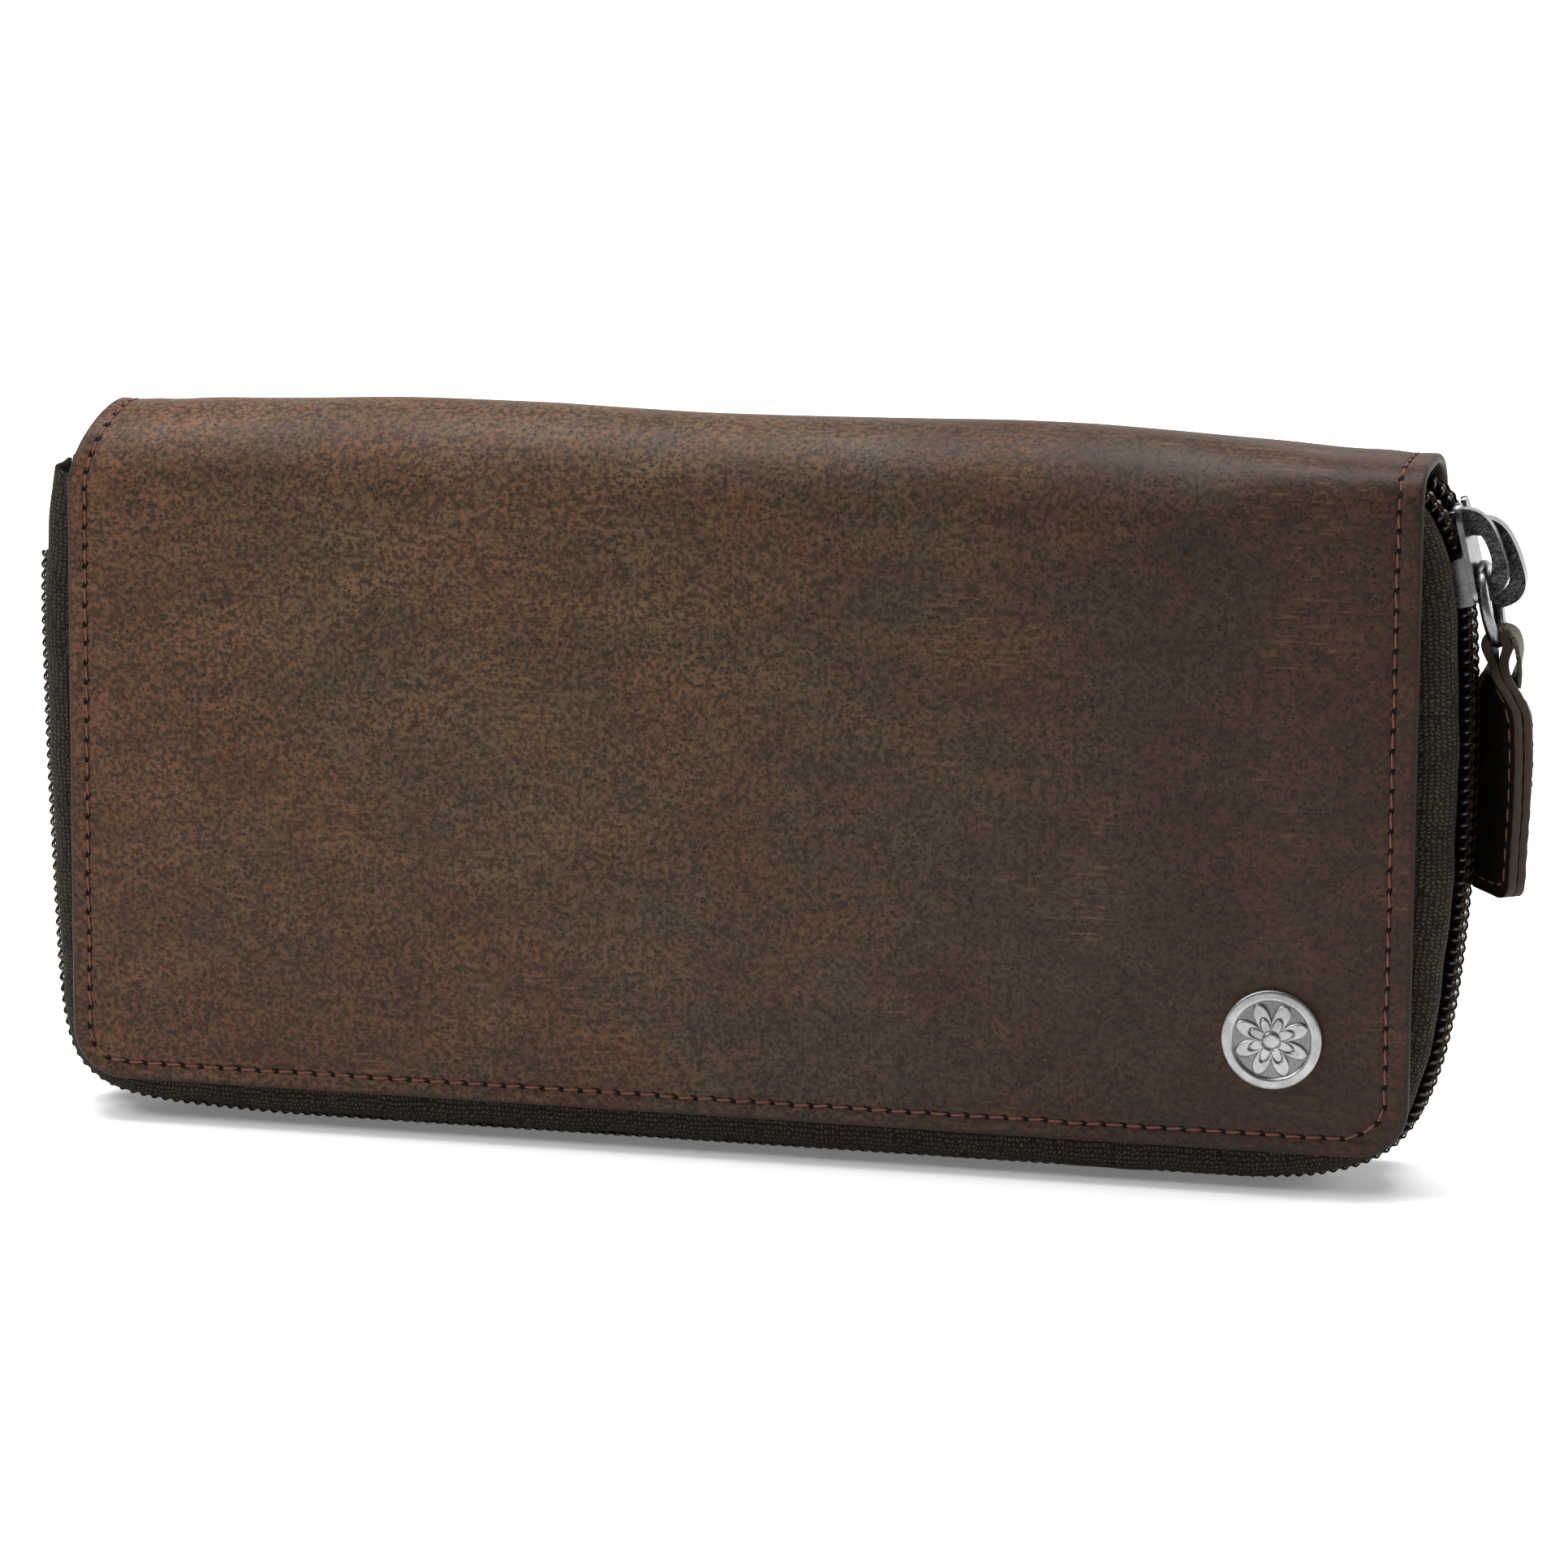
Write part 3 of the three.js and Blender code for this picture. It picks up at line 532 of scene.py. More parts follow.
def relax(line, passes):
    """Rounds a line in place, its ends kept."""
    for _ in range(passes):
        line[1:-1] = 0.25 * line[:-2] + 0.5 * line[1:-1] + 0.25 * line[2:]
    return line


def curve_through(points, count, passes=None):
    """A smooth open curve near flat points, in even steps, its ends kept."""
    points = np.array(points, float)
    along = lengths_along(points)
    return relax(points_at(np.linspace(0, along[-1], count), along, points), passes or count // 6)


def left_of(line):
    """The direction to the left of a flat line at each of its points."""
    ahead = unit(np.gradient(line, axis=0))
    return np.stack([-ahead[:, 1], ahead[:, 0]], -1)


def tube(path, radius, sides=8, closed=False, up=(0, 0, 1), flat=1.0):
    """(verts, faces, uv) of a round bar along a path. flat squashes it along the up direction."""
    path = np.asarray(path, float)
    count = len(path)
    if closed:
        ahead = np.roll(path, -1, 0) - np.roll(path, 1, 0)
    else:
        ahead = np.gradient(path, axis=0)
    ahead = unit(ahead)
    side = unit(np.cross(ahead, np.broadcast_to(np.asarray(up, float), ahead.shape)))
    lift = np.cross(side, ahead)
    radius = np.broadcast_to(np.asarray(radius, float), (count,))[:, None, None]
    angle = np.linspace(0, 2 * math.pi, sides, endpoint=False)
    cos, sin = np.cos(angle)[None, :, None], np.sin(angle)[None, :, None]
    ring = cos * side[:, None, :] + flat * sin * lift[:, None, :]
    verts = (path[:, None, :] + radius * ring).reshape(-1, 3)
    round_mm = angle * float(radius.mean())
    uv = np.stack(np.broadcast_arrays(lengths_along(path)[:, None], round_mm[None, :]), -1).reshape(-1, 2)
    faces = grid_faces(count, sides)
    if closed:
        last = (count - 1) * sides
        faces += [(last + j, last + (j + 1) % sides, (j + 1) % sides, j) for j in range(sides)]
    else:
        faces += end_faces(count, sides)
    return verts, faces, uv


# ---- leather shell --------------------------------------------------------------------------
CORNER_RADIUS = 7.4
EDGE_ROUND = LEATHER / 2


def edge_distance(x, s):
    """How far a point of the flat leather is from its cut edge."""
    qx = np.abs(x) - (HALF_WIDTH - CORNER_RADIUS)
    qs = np.abs(s - SHELL_LENGTH / 2) - (SHELL_LENGTH / 2 - CORNER_RADIUS)
    outside = np.hypot(np.maximum(qx, 0), np.maximum(qs, 0))
    return CORNER_RADIUS - (outside + np.minimum(np.maximum(qx, qs), 0))


ARCH_TABLE = {}
PADDING, PILLOW = 0.40, 0.6
ROLLED_IN = 4.2


def arch_profile(front, back):
    """An arch of two quarter superellipses, evenly along its length: (fraction, y, z), y from -1 to 1."""
    key = (front, back)
    if key not in ARCH_TABLE:
        angle = np.linspace(0, math.pi, 600)
        power = np.where(angle < math.pi / 2, front, back)
        y = -np.sign(np.cos(angle)) * np.abs(np.cos(angle)) ** (2 / power)
        z = np.abs(np.sin(angle)) ** (2 / power)
        step = np.hypot(np.diff(y), np.diff(z))
        along = np.concatenate([[0], np.cumsum(step)])
        ARCH_TABLE[key] = (along / along[-1], y, z)
    return ARCH_TABLE[key]


def shell_point(x, s):
    """The outer face of the shell at length x and distance s from the front's lower edge, over the spine."""
    x, s = np.broadcast_arrays(np.asarray(x, float), np.asarray(s, float))
    over = np.clip((s - STRAIGHT) / ARCH, 0, 1)
    # The arch is rounder to the left and squarer towards the right-hand end, most of all in front.
    squarer = np.round(smooth((x - 60) / 32), 2)
    y, z = np.empty_like(x), np.empty_like(x)
    for k in np.unique(squarer):
        here = squarer == k
        fraction, arch_y, arch_z = arch_profile(2.15 + 2.6 * float(k), 2.15 + 0.5 * float(k))
        y[here] = np.interp(over[here], fraction, arch_y)
        z[here] = np.interp(over[here], fraction, arch_z)
    below = np.where(s < STRAIGHT, STRAIGHT - s, np.maximum(s - STRAIGHT - ARCH, 0))
    inside = edge_distance(x, s)
    pad = PADDING * smooth((inside - 3.0) / 5.0)
    reach = np.clip(below / STRAIGHT, 0, 1)
    pillow = PILLOW * np.sin(math.pi * reach) * (1 - (x / HALF_WIDTH) ** 2)
    wave = 0.10 * np.sin(x / 13.0 + s / 21.0) + 0.07 * np.sin(x / 7.3 - s / 9.1 + 1.3)
    puff = pad + pillow + wave * smooth((inside - 4) / 10)
    grown = 1 + puff / HALF_DEPTH
    height = z * np.interp(x, RISE_AT, RISE) * grown
    # The left-hand end of the spine rolls inwards.
    roll = smooth((-x - 78) / 16) * (height / HALF_DEPTH) ** 1.7
    return np.stack([x + ROLLED_IN * roll, HALF_DEPTH * y * grown, HINGE_Z - below + height], -1)


# The spine's height over the hinge along X. It sags at both ends and a little left of the middle.
SPINE_RISE = [
    (-94, 10.6), (-88, 10.4), (-84, 10.3), (-77, 11.0), (-70, 11.15), (-59, 11.5), (-50, 11.9),
    (-38, 12.1), (-28, 12.25), (-16, 11.95), (-7, 11.75), (4, 11.9), (15, 12.15), (36, 12.45),
    (48, 12.45), (60, 12.15), (73, 11.5), (83, 10.6), (94, 10.8),
]
RISE_AT = np.linspace(-HALF_WIDTH, HALF_WIDTH, 377)
RISE = relax(np.interp(RISE_AT, *zip(*SPINE_RISE)), 40)


def shell_normal(x, s, step=0.05):
    ahead = shell_point(x + step, s) - shell_point(x - step, s)
    over = shell_point(x, s + step) - shell_point(x, s - step)
    return unit(np.cross(ahead, over))


# Distances from the cut edge at which the shell has points.
FINE_STEPS = [0, 0.06, 0.16, 0.3, 0.48, 0.7, 1.0, 1.4, 1.7, 1.95, 2.2, 2.45, 2.7, 2.95, 3.2, 3.5, 3.8, 4.2,
              4.8, 5.6, 7.0]
SEAM_LEFT, SEAM_RIGHT, SEAM_BOTTOM = 2.6, 3.3, 2.6
SEAM_DEPTH, SEAM_SPREAD = 0.16, 0.55
SHELL_STITCH, PULL_STITCH, INNER_STITCH = 2.72, 2.6, 2.9


def seam_depth(x, s):
    """The shallow furrow that the stitching pulls into the leather."""
    inset_x = np.where(x < 0, np.abs(-HALF_WIDTH + SEAM_LEFT - x), np.abs(HALF_WIDTH - SEAM_RIGHT - x))
    inset_s = np.minimum(np.abs(s - SEAM_BOTTOM), np.abs(SHELL_LENGTH - SEAM_BOTTOM - s))
    return SEAM_DEPTH * np.exp(-((np.minimum(inset_x, inset_s) / SEAM_SPREAD) ** 2))


def make_shell():
    fine = np.array(FINE_STEPS)
    s_values = np.concatenate([
        fine,
        np.linspace(fine[-1], STRAIGHT, 44)[1:],
        np.linspace(STRAIGHT, STRAIGHT + ARCH, 46)[1:],
        np.linspace(STRAIGHT + ARCH, SHELL_LENGTH - fine[-1], 44)[1:],
        (SHELL_LENGTH - fine[::-1])[1:],
    ])
    near_end = np.minimum(s_values, SHELL_LENGTH - s_values)
    short = np.clip(CORNER_RADIUS - near_end, 0, CORNER_RADIUS)
    reach = HALF_WIDTH - (CORNER_RADIUS - np.sqrt(CORNER_RADIUS**2 - short**2))
    middle = np.linspace(-1, 1, 116)
    rows = []
    for r in reach:
        inner = (r - fine[-1]) * middle
        rows.append(np.concatenate([-r + fine[:-1], inner, (r - fine[:-1])[::-1]]))
    x = np.array(rows)
    s = np.broadcast_to(s_values[:, None], x.shape)
    count_rows, columns = x.shape
    surface = shell_point(x, s)
    normal = shell_normal(x, s)
    inside = np.maximum(edge_distance(x, s), 0)
    near = np.clip(EDGE_ROUND - inside, 0, EDGE_ROUND)
    drop = EDGE_ROUND - np.sqrt(EDGE_ROUND**2 - near**2)
    outer = surface - normal * (drop + seam_depth(x, s) * smooth((inside - 1) / 1.0))[..., None]
    inner = surface - normal * (LEATHER - drop)[..., None]
    edge = np.zeros(x.shape, bool)
    edge[0], edge[-1], edge[:, 0], edge[:, -1] = True, True, True, True
    index_outer = np.arange(x.size).reshape(x.shape)
    index_inner = np.where(edge, index_outer, 0)
    index_inner[~edge] = x.size + np.arange((~edge).sum())
    verts = np.concatenate([outer.reshape(-1, 3), inner[~edge]])
    flat = np.stack([x, s], -1)
    uv = np.concatenate([flat.reshape(-1, 2), flat[~edge] + [0, 400]])
    faces = []
    for i in range(count_rows - 1):
        for j in range(columns - 1):
            for index, turn in ((index_outer, 1), (index_inner, -1)):
                corners = (index[i, j], index[i, j + 1], index[i + 1, j + 1], index[i + 1, j])
                faces.append(corners[::turn])
    piece = build("leather_shell", verts, faces, SHELL_LEATHER, uv)
    # rim darkens the cut edge, partly the leather's own darker edge and partly painted shade; on the whole
    # inner face it is painted shade.
    shade = (1 - smooth((inside - 0.15) / 0.75)).reshape(-1)
    rim = piece.data.attributes.new("rim", "FLOAT", "POINT")
    rim.data.foreach_set("value", np.concatenate([shade, np.full((~edge).sum(), 0.6)]))
    return piece


def seam_route():
    """The closed line of stitching round the flat leather, as (x, s) corners with cut-off turns."""
    left, right = -HALF_WIDTH + SEAM_LEFT, HALF_WIDTH - SEAM_RIGHT
    low, high = SEAM_BOTTOM, SHELL_LENGTH - SEAM_BOTTOM
    turn = 3.1
    return [
        (left, high - turn), (left, low + turn), (left + turn * 0.8, low + 0.4), (left + turn * 1.8, low),
        (right - turn * 1.5, low), (right, low + turn), (right, high - turn),
        (right - turn, high), (left + turn, high),
    ]


def walk(corners, pitch, closed=True):
    """Evenly spaced points along a polyline."""
    points = np.array(corners + corners[:1] if closed else corners, float)
    along = lengths_along(points)
    count = int(round(along[-1] / pitch))
    return points_at(np.linspace(0, along[-1], count, endpoint=not closed), along, points)


HOLE_LONG, HOLE_SHORT = 0.58, 0.31
FINE_STITCH = {"lift": 0.14, "radius": 0.13, "slant": 0.05}


def add_stitch(parts, start, end, normal, lift=0.16, radius=0.17, slant=0.1):
    """One thread between two needle holes, and the hole at its start: a shallow near-black cup, painted shade
    for the hole's depth.
    """
    ahead = unit(end - start)
    across = unit(np.cross(normal, ahead))
    t = np.linspace(0.20, 0.95, 9)[:, None]
    rise = lift * np.sin(math.pi * np.clip((t - 0.06) / 0.88, 0, 1)) ** 0.6 - 0.12
    path = start + (end - start) * t + normal * rise + across * slant * (2 * t - 1)
    taper = radius * (0.72 + 0.28 * np.sin(math.pi * t[:, 0]))
    verts, faces, uv = tube(path, taper, sides=6, up=normal)
    parts.add(verts, faces, uv + [start[0] * 3.1, 0])
    ring = np.linspace(0, 2 * math.pi, 12, endpoint=False)
    long_axis = unit(ahead - 0.55 * across)
    short_axis = np.cross(normal, long_axis)
    cup = [start - normal * 0.05]
    for scale, height in ((0.55, -0.02), (1.0, 0.035), (1.12, -0.05)):
        for a in ring:
            rim = HOLE_LONG * math.cos(a) * long_axis + HOLE_SHORT * math.sin(a) * short_axis
            cup.append(start + scale * rim + normal * height)
    n = len(ring)
    faces = [(0, 1 + j, 1 + (j + 1) % n) for j in range(n)]
    for k in range(2):
        base = 1 + k * n
        faces += [(base + j, base + n + j, base + n + (j + 1) % n, base + (j + 1) % n) for j in range(n)]
    parts.add(cup, faces, np.zeros((len(cup), 2)), 1)


def make_shell_stitching():
    rng = np.random.default_rng(7)
    route = walk(seam_route(), SHELL_STITCH)
    route = route + rng.normal(0, 0.05, route.shape)
    x, s = route[:, 0], route[:, 1]
    normal = shell_normal(x, s)
    surface = shell_point(x, s) - normal * (seam_depth(x, s) - 0.09)[:, None]
    parts = Parts()
    for i in range(len(route)):
        k = (i + 1) % len(route)
        slant = 0.09 + rng.normal(0, 0.03)
        add_stitch(parts, surface[i], surface[k], unit(normal[i] + normal[k]), slant=slant)
    return parts.build("shell_stitching", [THREAD, HOLE_SHADE])


# ---- zip ------------------------------------------------------------------------------------
# The line that the chain's outer face follows, from the tapes' left-hand top, round the base, into the spine.
ZIP_LINE = [
    (-98.6, 94.5), (-99.8, 88), (-100.5, 81), (-100.8, 73), (-100.6, 62), (-100.2, 48), (-99.5, 32),
    (-98.9, 19), (-98.1, 11), (-96.4, 5.6), (-92.0, 2.4), (-85, 1.0), (-76, 0.5), (-64, 0.1), (-52, 0),
    (0, 0), (60, 0), (70, 0.1), (79.5, 0.7), (87, 2.7), (92.2, 6.3), (95.1, 11.8), (97.0, 18.5),
    (98.3, 26), (99.1, 34), (99.8, 43), (100.1, 55),
    (100.0, 68), (99.5, 78), (98.8, 85), (97.8, 90), (96.0, 94.2), (93, 97.4), (88, 99.2),
]
CHAIN_OUT = 6.0  # distances across the zip count outwards from a line this far inside its outer face


def smooth_line(points, step=0.5, passes=60):
    """The polyline as an even, rounded curve: (points, outward directions, length along it)."""
    points = np.array(points, float)
    along = lengths_along(points)
    line = relax(points_at(np.arange(0, along[-1], step), along, points), passes)
    return line, -left_of(line), lengths_along(line)


ROUTE, ROUTE_OUT, ROUTE_LENGTH = smooth_line(ZIP_LINE)
RIGHT_HALF = ROUTE[:, 0] > 0


def zip_length_at(sign, z):
    """The length along the zip at which its left (-1) or right (1) run is at a height."""
    half = np.where(RIGHT_HALF if sign > 0 else ~RIGHT_HALF)[0]
    return ROUTE_LENGTH[half[np.argmin(np.abs(ROUTE[half, 1] - z))]]


def zip_stations(lengths):
    """(x, z, outward x, outward z) at each length, on the line that distances across the zip count from."""
    line = points_at(lengths, ROUTE_LENGTH, ROUTE - CHAIN_OUT * ROUTE_OUT)
    out = unit(points_at(lengths, ROUTE_LENGTH, ROUTE_OUT))
    return np.concatenate([line, out], -1)


TAPE_TOP_LEFT = zip_length_at(-1, 92.0)
COIL_TOP_LEFT = zip_length_at(-1, 78.5)
ZIP_TOP_RIGHT = ROUTE_LENGTH[-1]
PARTING = zip_length_at(1, 87.0)
PARTED = 3.3


def spread(length):
    """How far each row has parted from the middle above the slider."""
    return PARTED * smooth((length - PARTING + 1.0) / 9.0)


def place_on_zip(stations, d, y):
    return np.stack([stations[:, 0] + d * stations[:, 2], y, stations[:, 1] + d * stations[:, 3]], -1)


# Middle line of the tape's section as (distance outwards, depth): on the base, up the left and up the right.
TAPE_SECTIONS = {
    "base": [(3.95, 1.0), (3.9, 2.6), (3.7, 3.6), (3.8, 4.6), (4.05, 5.7), (4.2, 6.9), (4.1, 8.0), (3.7, 9.1),
             (2.9, 10.0), (1.7, 10.55), (0.3, 10.72), (-1.6, 10.72), (-4.0, 10.72)],
    "left": [(3.95, 1.0), (3.9, 2.6), (3.6, 3.6), (3.5, 4.6), (3.7, 5.7), (3.8, 6.9), (3.7, 8.0), (3.2, 9.1),
             (2.3, 10.0), (1.2, 10.55), (0.0, 10.72), (-1.9, 10.72), (-4.0, 10.72)],
    "right": [(3.95, 1.0), (3.75, 2.6), (3.2, 3.6), (3.15, 4.6), (3.9, 5.7), (4.7, 6.9), (4.75, 8.0),
              (4.3, 9.1), (3.4, 9.9), (2.2, 10.45), (0.7, 10.72), (-1.6, 10.72), (-4.0, 10.72)],
}
TAPE_THICK = 0.55
TAPE_POINTS = 30


def make_tape(name, row):
    """One zip tape. row is -1 for the front one and 1 for the back one."""
    stops = np.linspace(TAPE_TOP_LEFT, ZIP_TOP_RIGHT, 420)
    sections = {key: curve_through(line, TAPE_POINTS, 6) for key, line in TAPE_SECTIONS.items()}
    across = np.linspace(0, lengths_along(TAPE_SECTIONS["base"])[-1], TAPE_POINTS)
    stations = zip_stations(stops)
    ripple_shape = np.sin(np.linspace(0, math.pi, len(across)))
    outer, inner = [], []
    for length, station in zip(stops, stations):
        side = "left" if station[0] < 0 else "right"
        up = smooth((abs(station[2]) - 0.15) / 0.7)
        line = sections["base"] * (1 - up) + sections[side] * up
        ripple = 0.10 * math.sin(length / 3.1) + 0.06 * math.sin(length / 1.37 + 0.6)
        fuller = 0.45 * smooth((station[0] + 20) / 90) * (1 - up)
        d = line[:, 0] + (ripple + fuller) * ripple_shape
        y = line[:, 1] + spread(length) * (1 - smooth((line[:, 1] - 3.5) / 5.0))
        out = -left_of(np.stack([d, y], -1))
        for store, shift in ((outer, TAPE_THICK / 2), (inner, -TAPE_THICK / 2)):
            dd = d + out[:, 0] * shift
            yy = (y + out[:, 1] * shift) * row
            store.append(np.stack([station[0] + dd * station[2], yy, station[1] + dd * station[3]], -1))
    flat = np.stack(np.broadcast_arrays(stops[:, None], across[None, :]), -1)
    piece = build_sheet(name, np.array(outer), np.array(inner), flat, [0, 60], TAPE)
    if row < 0:
        piece.data.flip_normals()
    return piece


COIL_PITCH = 1.6
COIL_END = ZIP_TOP_RIGHT - 1
COIL_TURNS = int((COIL_END - COIL_TOP_LEFT) / COIL_PITCH) - 1
WIRE_RADIUS = 0.40


def make_coil(name, row):
    """A row of nylon loops, wound as one wire round a cord; its heads reach in between the other row's."""
    per_turn = 14
    t = np.arange(COIL_TURNS * per_turn + 1) / per_turn
    phase = 2 * math.pi * t
    half_turn = 0.0 if row < 0 else 0.5
    lengths = COIL_TOP_LEFT + COIL_PITCH * (t + half_turn) + 0.30 * COIL_PITCH * np.sin(phase + 0.5)
    stations = zip_stations(lengths)
    c, s = np.cos(phase), np.sin(phase)
    y = 1.45 + 1.62 * np.sign(-c) * np.abs(c) ** 0.7
    d = 5.08 + 0.66 * np.sign(s) * np.abs(s) ** 0.7
    path = place_on_zip(stations, d, row * (y + spread(lengths)))
    radius = WIRE_RADIUS * (1 + 0.12 * np.clip(c, 0, 1) ** 3)
    parts = Parts()
    parts.add(*tube(path, radius, sides=8, up=(0.3, 0.9, 0.1)))
    stops = np.arange(COIL_TOP_LEFT, COIL_END, 0.8)
    core = place_on_zip(zip_stations(stops), np.full(len(stops), 5.0), row * (1.75 + spread(stops)))
    parts.add(*tube(core, 0.95, sides=8), 1)
    return parts.build(name, [NYLON, CORD])


def make_coil_threads(name, row):
    """The two sewing threads that hold a coil row down on its tape."""
    t = np.arange(COIL_TURNS * 8 + 1) / 8
    lengths = COIL_TOP_LEFT + COIL_PITCH * t
    stations = zip_stations(lengths)
    parts = Parts()
    for lane, sway, offset in ((2.35, 0.26, 0.0), (2.85, -0.2, 0.35)):
        wave = np.sin(2 * math.pi * t + offset)
        y = lane + sway * wave
        d = 6.05 - 0.35 * (lane > 2.5) + 0.14 * np.cos(2 * math.pi * t + offset + row)
        parts.add(*tube(place_on_zip(stations, d, row * (y + spread(lengths))), 0.17, sides=6))
    return parts.build(name, [COIL_THREAD])


# ---- slider, ring and pull ------------------------------------------------------------------
RING_PIVOT = joint_spot("ring_swing")
PULL_PIVOT = joint_spot("pull_swing")
SLIDER_X, SLIDER_Z = 98.05, 87.7
SLIDER_TILT = math.radians(13.4)
BLADE_LOW, BLADE_HIGH = 0.4, 1.2
SLIDER_HALF_LENGTH = 6.9
SLIDER_HALF_WIDTH = 5.0


def slider_place(points):
    """Slider points (outwards, depth, along) put in place on the tilted chain."""
    p = np.asarray(points, float)
    cos, sin = math.cos(SLIDER_TILT), math.sin(SLIDER_TILT)
    return np.stack([
        SLIDER_X + p[..., 0] * cos - p[..., 2] * sin,
        p[..., 1],
        SLIDER_Z + p[..., 0] * sin + p[..., 2] * cos,
    ], -1)


def level_point(level, a, b, axis):
    return {0: (level, a, b), 1: (a, level, b), 2: (a, b, level)}[axis]


def prism(outline, low, high, axis):
    """A solid between two levels of one axis. outline is a loop of 2-D points."""
    n = len(outline)
    verts = [level_point(level, a, b, axis) for level in (low, high) for a, b in outline]
    faces = [tuple(range(n))[::-1], tuple(range(n, 2 * n))]
    faces += [(j, (j + 1) % n, n + (j + 1) % n, n + j) for j in range(n)]
    return np.array(verts, float), faces


def arch_strip(outer, inner, low, high, axis):
    """A solid bar that follows an open arch between an outer and an inner line of as many points."""
    n = len(outer)
    verts = [level_point(level, a, b, axis)
             for line in (outer, inner) for level in (low, high) for a, b in line]
    faces = []
    for j in range(n - 1):
        k = j + 1
        faces.append((j, k, n + k, n + j))
        faces.append((2 * n + k, 2 * n + j, 3 * n + j, 3 * n + k))
        faces.append((k, j, 2 * n + j, 2 * n + k))
        faces.append((n + j, n + k, 3 * n + k, 3 * n + j))
    faces.append((0, n, 3 * n, 2 * n))
    faces.append((n - 1, 3 * n - 1, 4 * n - 1, 2 * n - 1))
    return np.array(verts, float), faces


def round_corners(points, radius, steps=5):
    """A polygon with its corners as curves."""
    points = np.asarray(points, float)
    out = []
    n = len(points)
    for i in range(n):
        before, here, after = points[i - 1], points[i], points[(i + 1) % n]
        r = radius[i] if isinstance(radius, (list, tuple)) else radius
        a = here + unit(before - here) * min(r, 0.48 * np.linalg.norm(before - here))
        b = here + unit(after - here) * min(r, 0.48 * np.linalg.norm(after - here))
        for k in range(steps + 1):
            t = k / steps
            out.append((1 - t) ** 2 * a + 2 * t * (1 - t) * here + t * t * b)
    return np.array(out)


def solid_piece(name, shapes, slots, materials, bevel):
    """Closed shapes in one mesh, with rounded edges."""
    parts = Parts()
    for (verts, faces), slot in zip(shapes, slots):
        parts.add(slider_place(verts), faces, verts[:, 1:], slot)
    piece = parts.build(name, materials)
    tidy_normals(piece)
    rounding = piece.modifiers.new("rounding", "BEVEL")
    rounding.width = bevel * MM
    rounding.segments = 3
    rounding.limit_method = "ANGLE"
    rounding.angle_limit = math.radians(35)
    rounding.material = 0
    piece.modifiers.new("shading", "WEIGHTED_NORMAL")
    return piece


# The crown's side view over the blade, as (height over the blade, place along it): its outline and its hole.
CROWN_OUTLINE = [(-0.2, 6.1), (0.7, 6.0), (1.6, 5.6), (2.5, 4.9), (3.2, 3.9), (3.8, 2.2), (4.15, 0.3),
                 (4.35, -1.8), (4.4, -3.5), (4.1, -4.7), (3.3, -5.7), (2.2, -6.3), (1.0, -6.5), (-0.2, -6.5)]
CROWN_HOLE = [(-0.2, 3.5), (0.5, 3.45), (1.1, 3.1), (1.7, 2.2), (2.2, 0.9), (2.45, -0.6), (2.45, -2.0),
              (2.15, -3.1), (1.7, -3.8), (1.1, -4.1), (0.4, -4.2), (-0.2, -4.2)]
NEAR_LUG = {"depth": (-2.9, -1.0), "shift": (0.0, 0.0)}
FAR_LUG = {"depth": (1.0, 3.8), "shift": (1.45, -2.2)}


def crown_lug(depth, shift):
    outline = curve_through(CROWN_OUTLINE, 44) + [BLADE_HIGH, 0]
    hole = curve_through(CROWN_HOLE, 44) + [BLADE_HIGH, 0]
    foot = outline[:, 0] < BLADE_HIGH + 0.1
    outline = outline + np.where(foot[:, None], [0, shift[1]], shift)
    foot = hole[:, 0] < BLADE_HIGH + 0.1
    hole = hole + np.where(foot[:, None], [0, shift[1] * 0.8], shift)
    floor_v = -SLIDER_HALF_LENGTH + 0.3
    near_blade = outline[:, 0] < BLADE_HIGH + 0.8
    outline[:, 1] = np.where(near_blade, np.maximum(outline[:, 1], floor_v), outline[:, 1])
    return arch_strip(outline, hole, depth[0], depth[1], 1)


def flange(side):
    """The plate that the outer blade turns down past the tape, its top edge sloping away."""
    outline = round_corners([(-2.3, -SLIDER_HALF_LENGTH + 0.1), (BLADE_LOW + 0.1, -SLIDER_HALF_LENGTH + 0.1),
                             (BLADE_LOW + 0.1, 0.55), (-2.3, 0.35)], [1.1, 0.5, 0.05, 0.15], 6)
    outside = side * SLIDER_HALF_WIDTH
    low, high = sorted((outside, side * (SLIDER_HALF_WIDTH - 0.85)))
    verts, faces = prism(outline, low, high, 1)
    top = (verts[:, 2] > 0) & (np.abs(verts[:, 1] - outside) < 0.01)
    verts[top, 2] -= 0.75
    return verts, faces


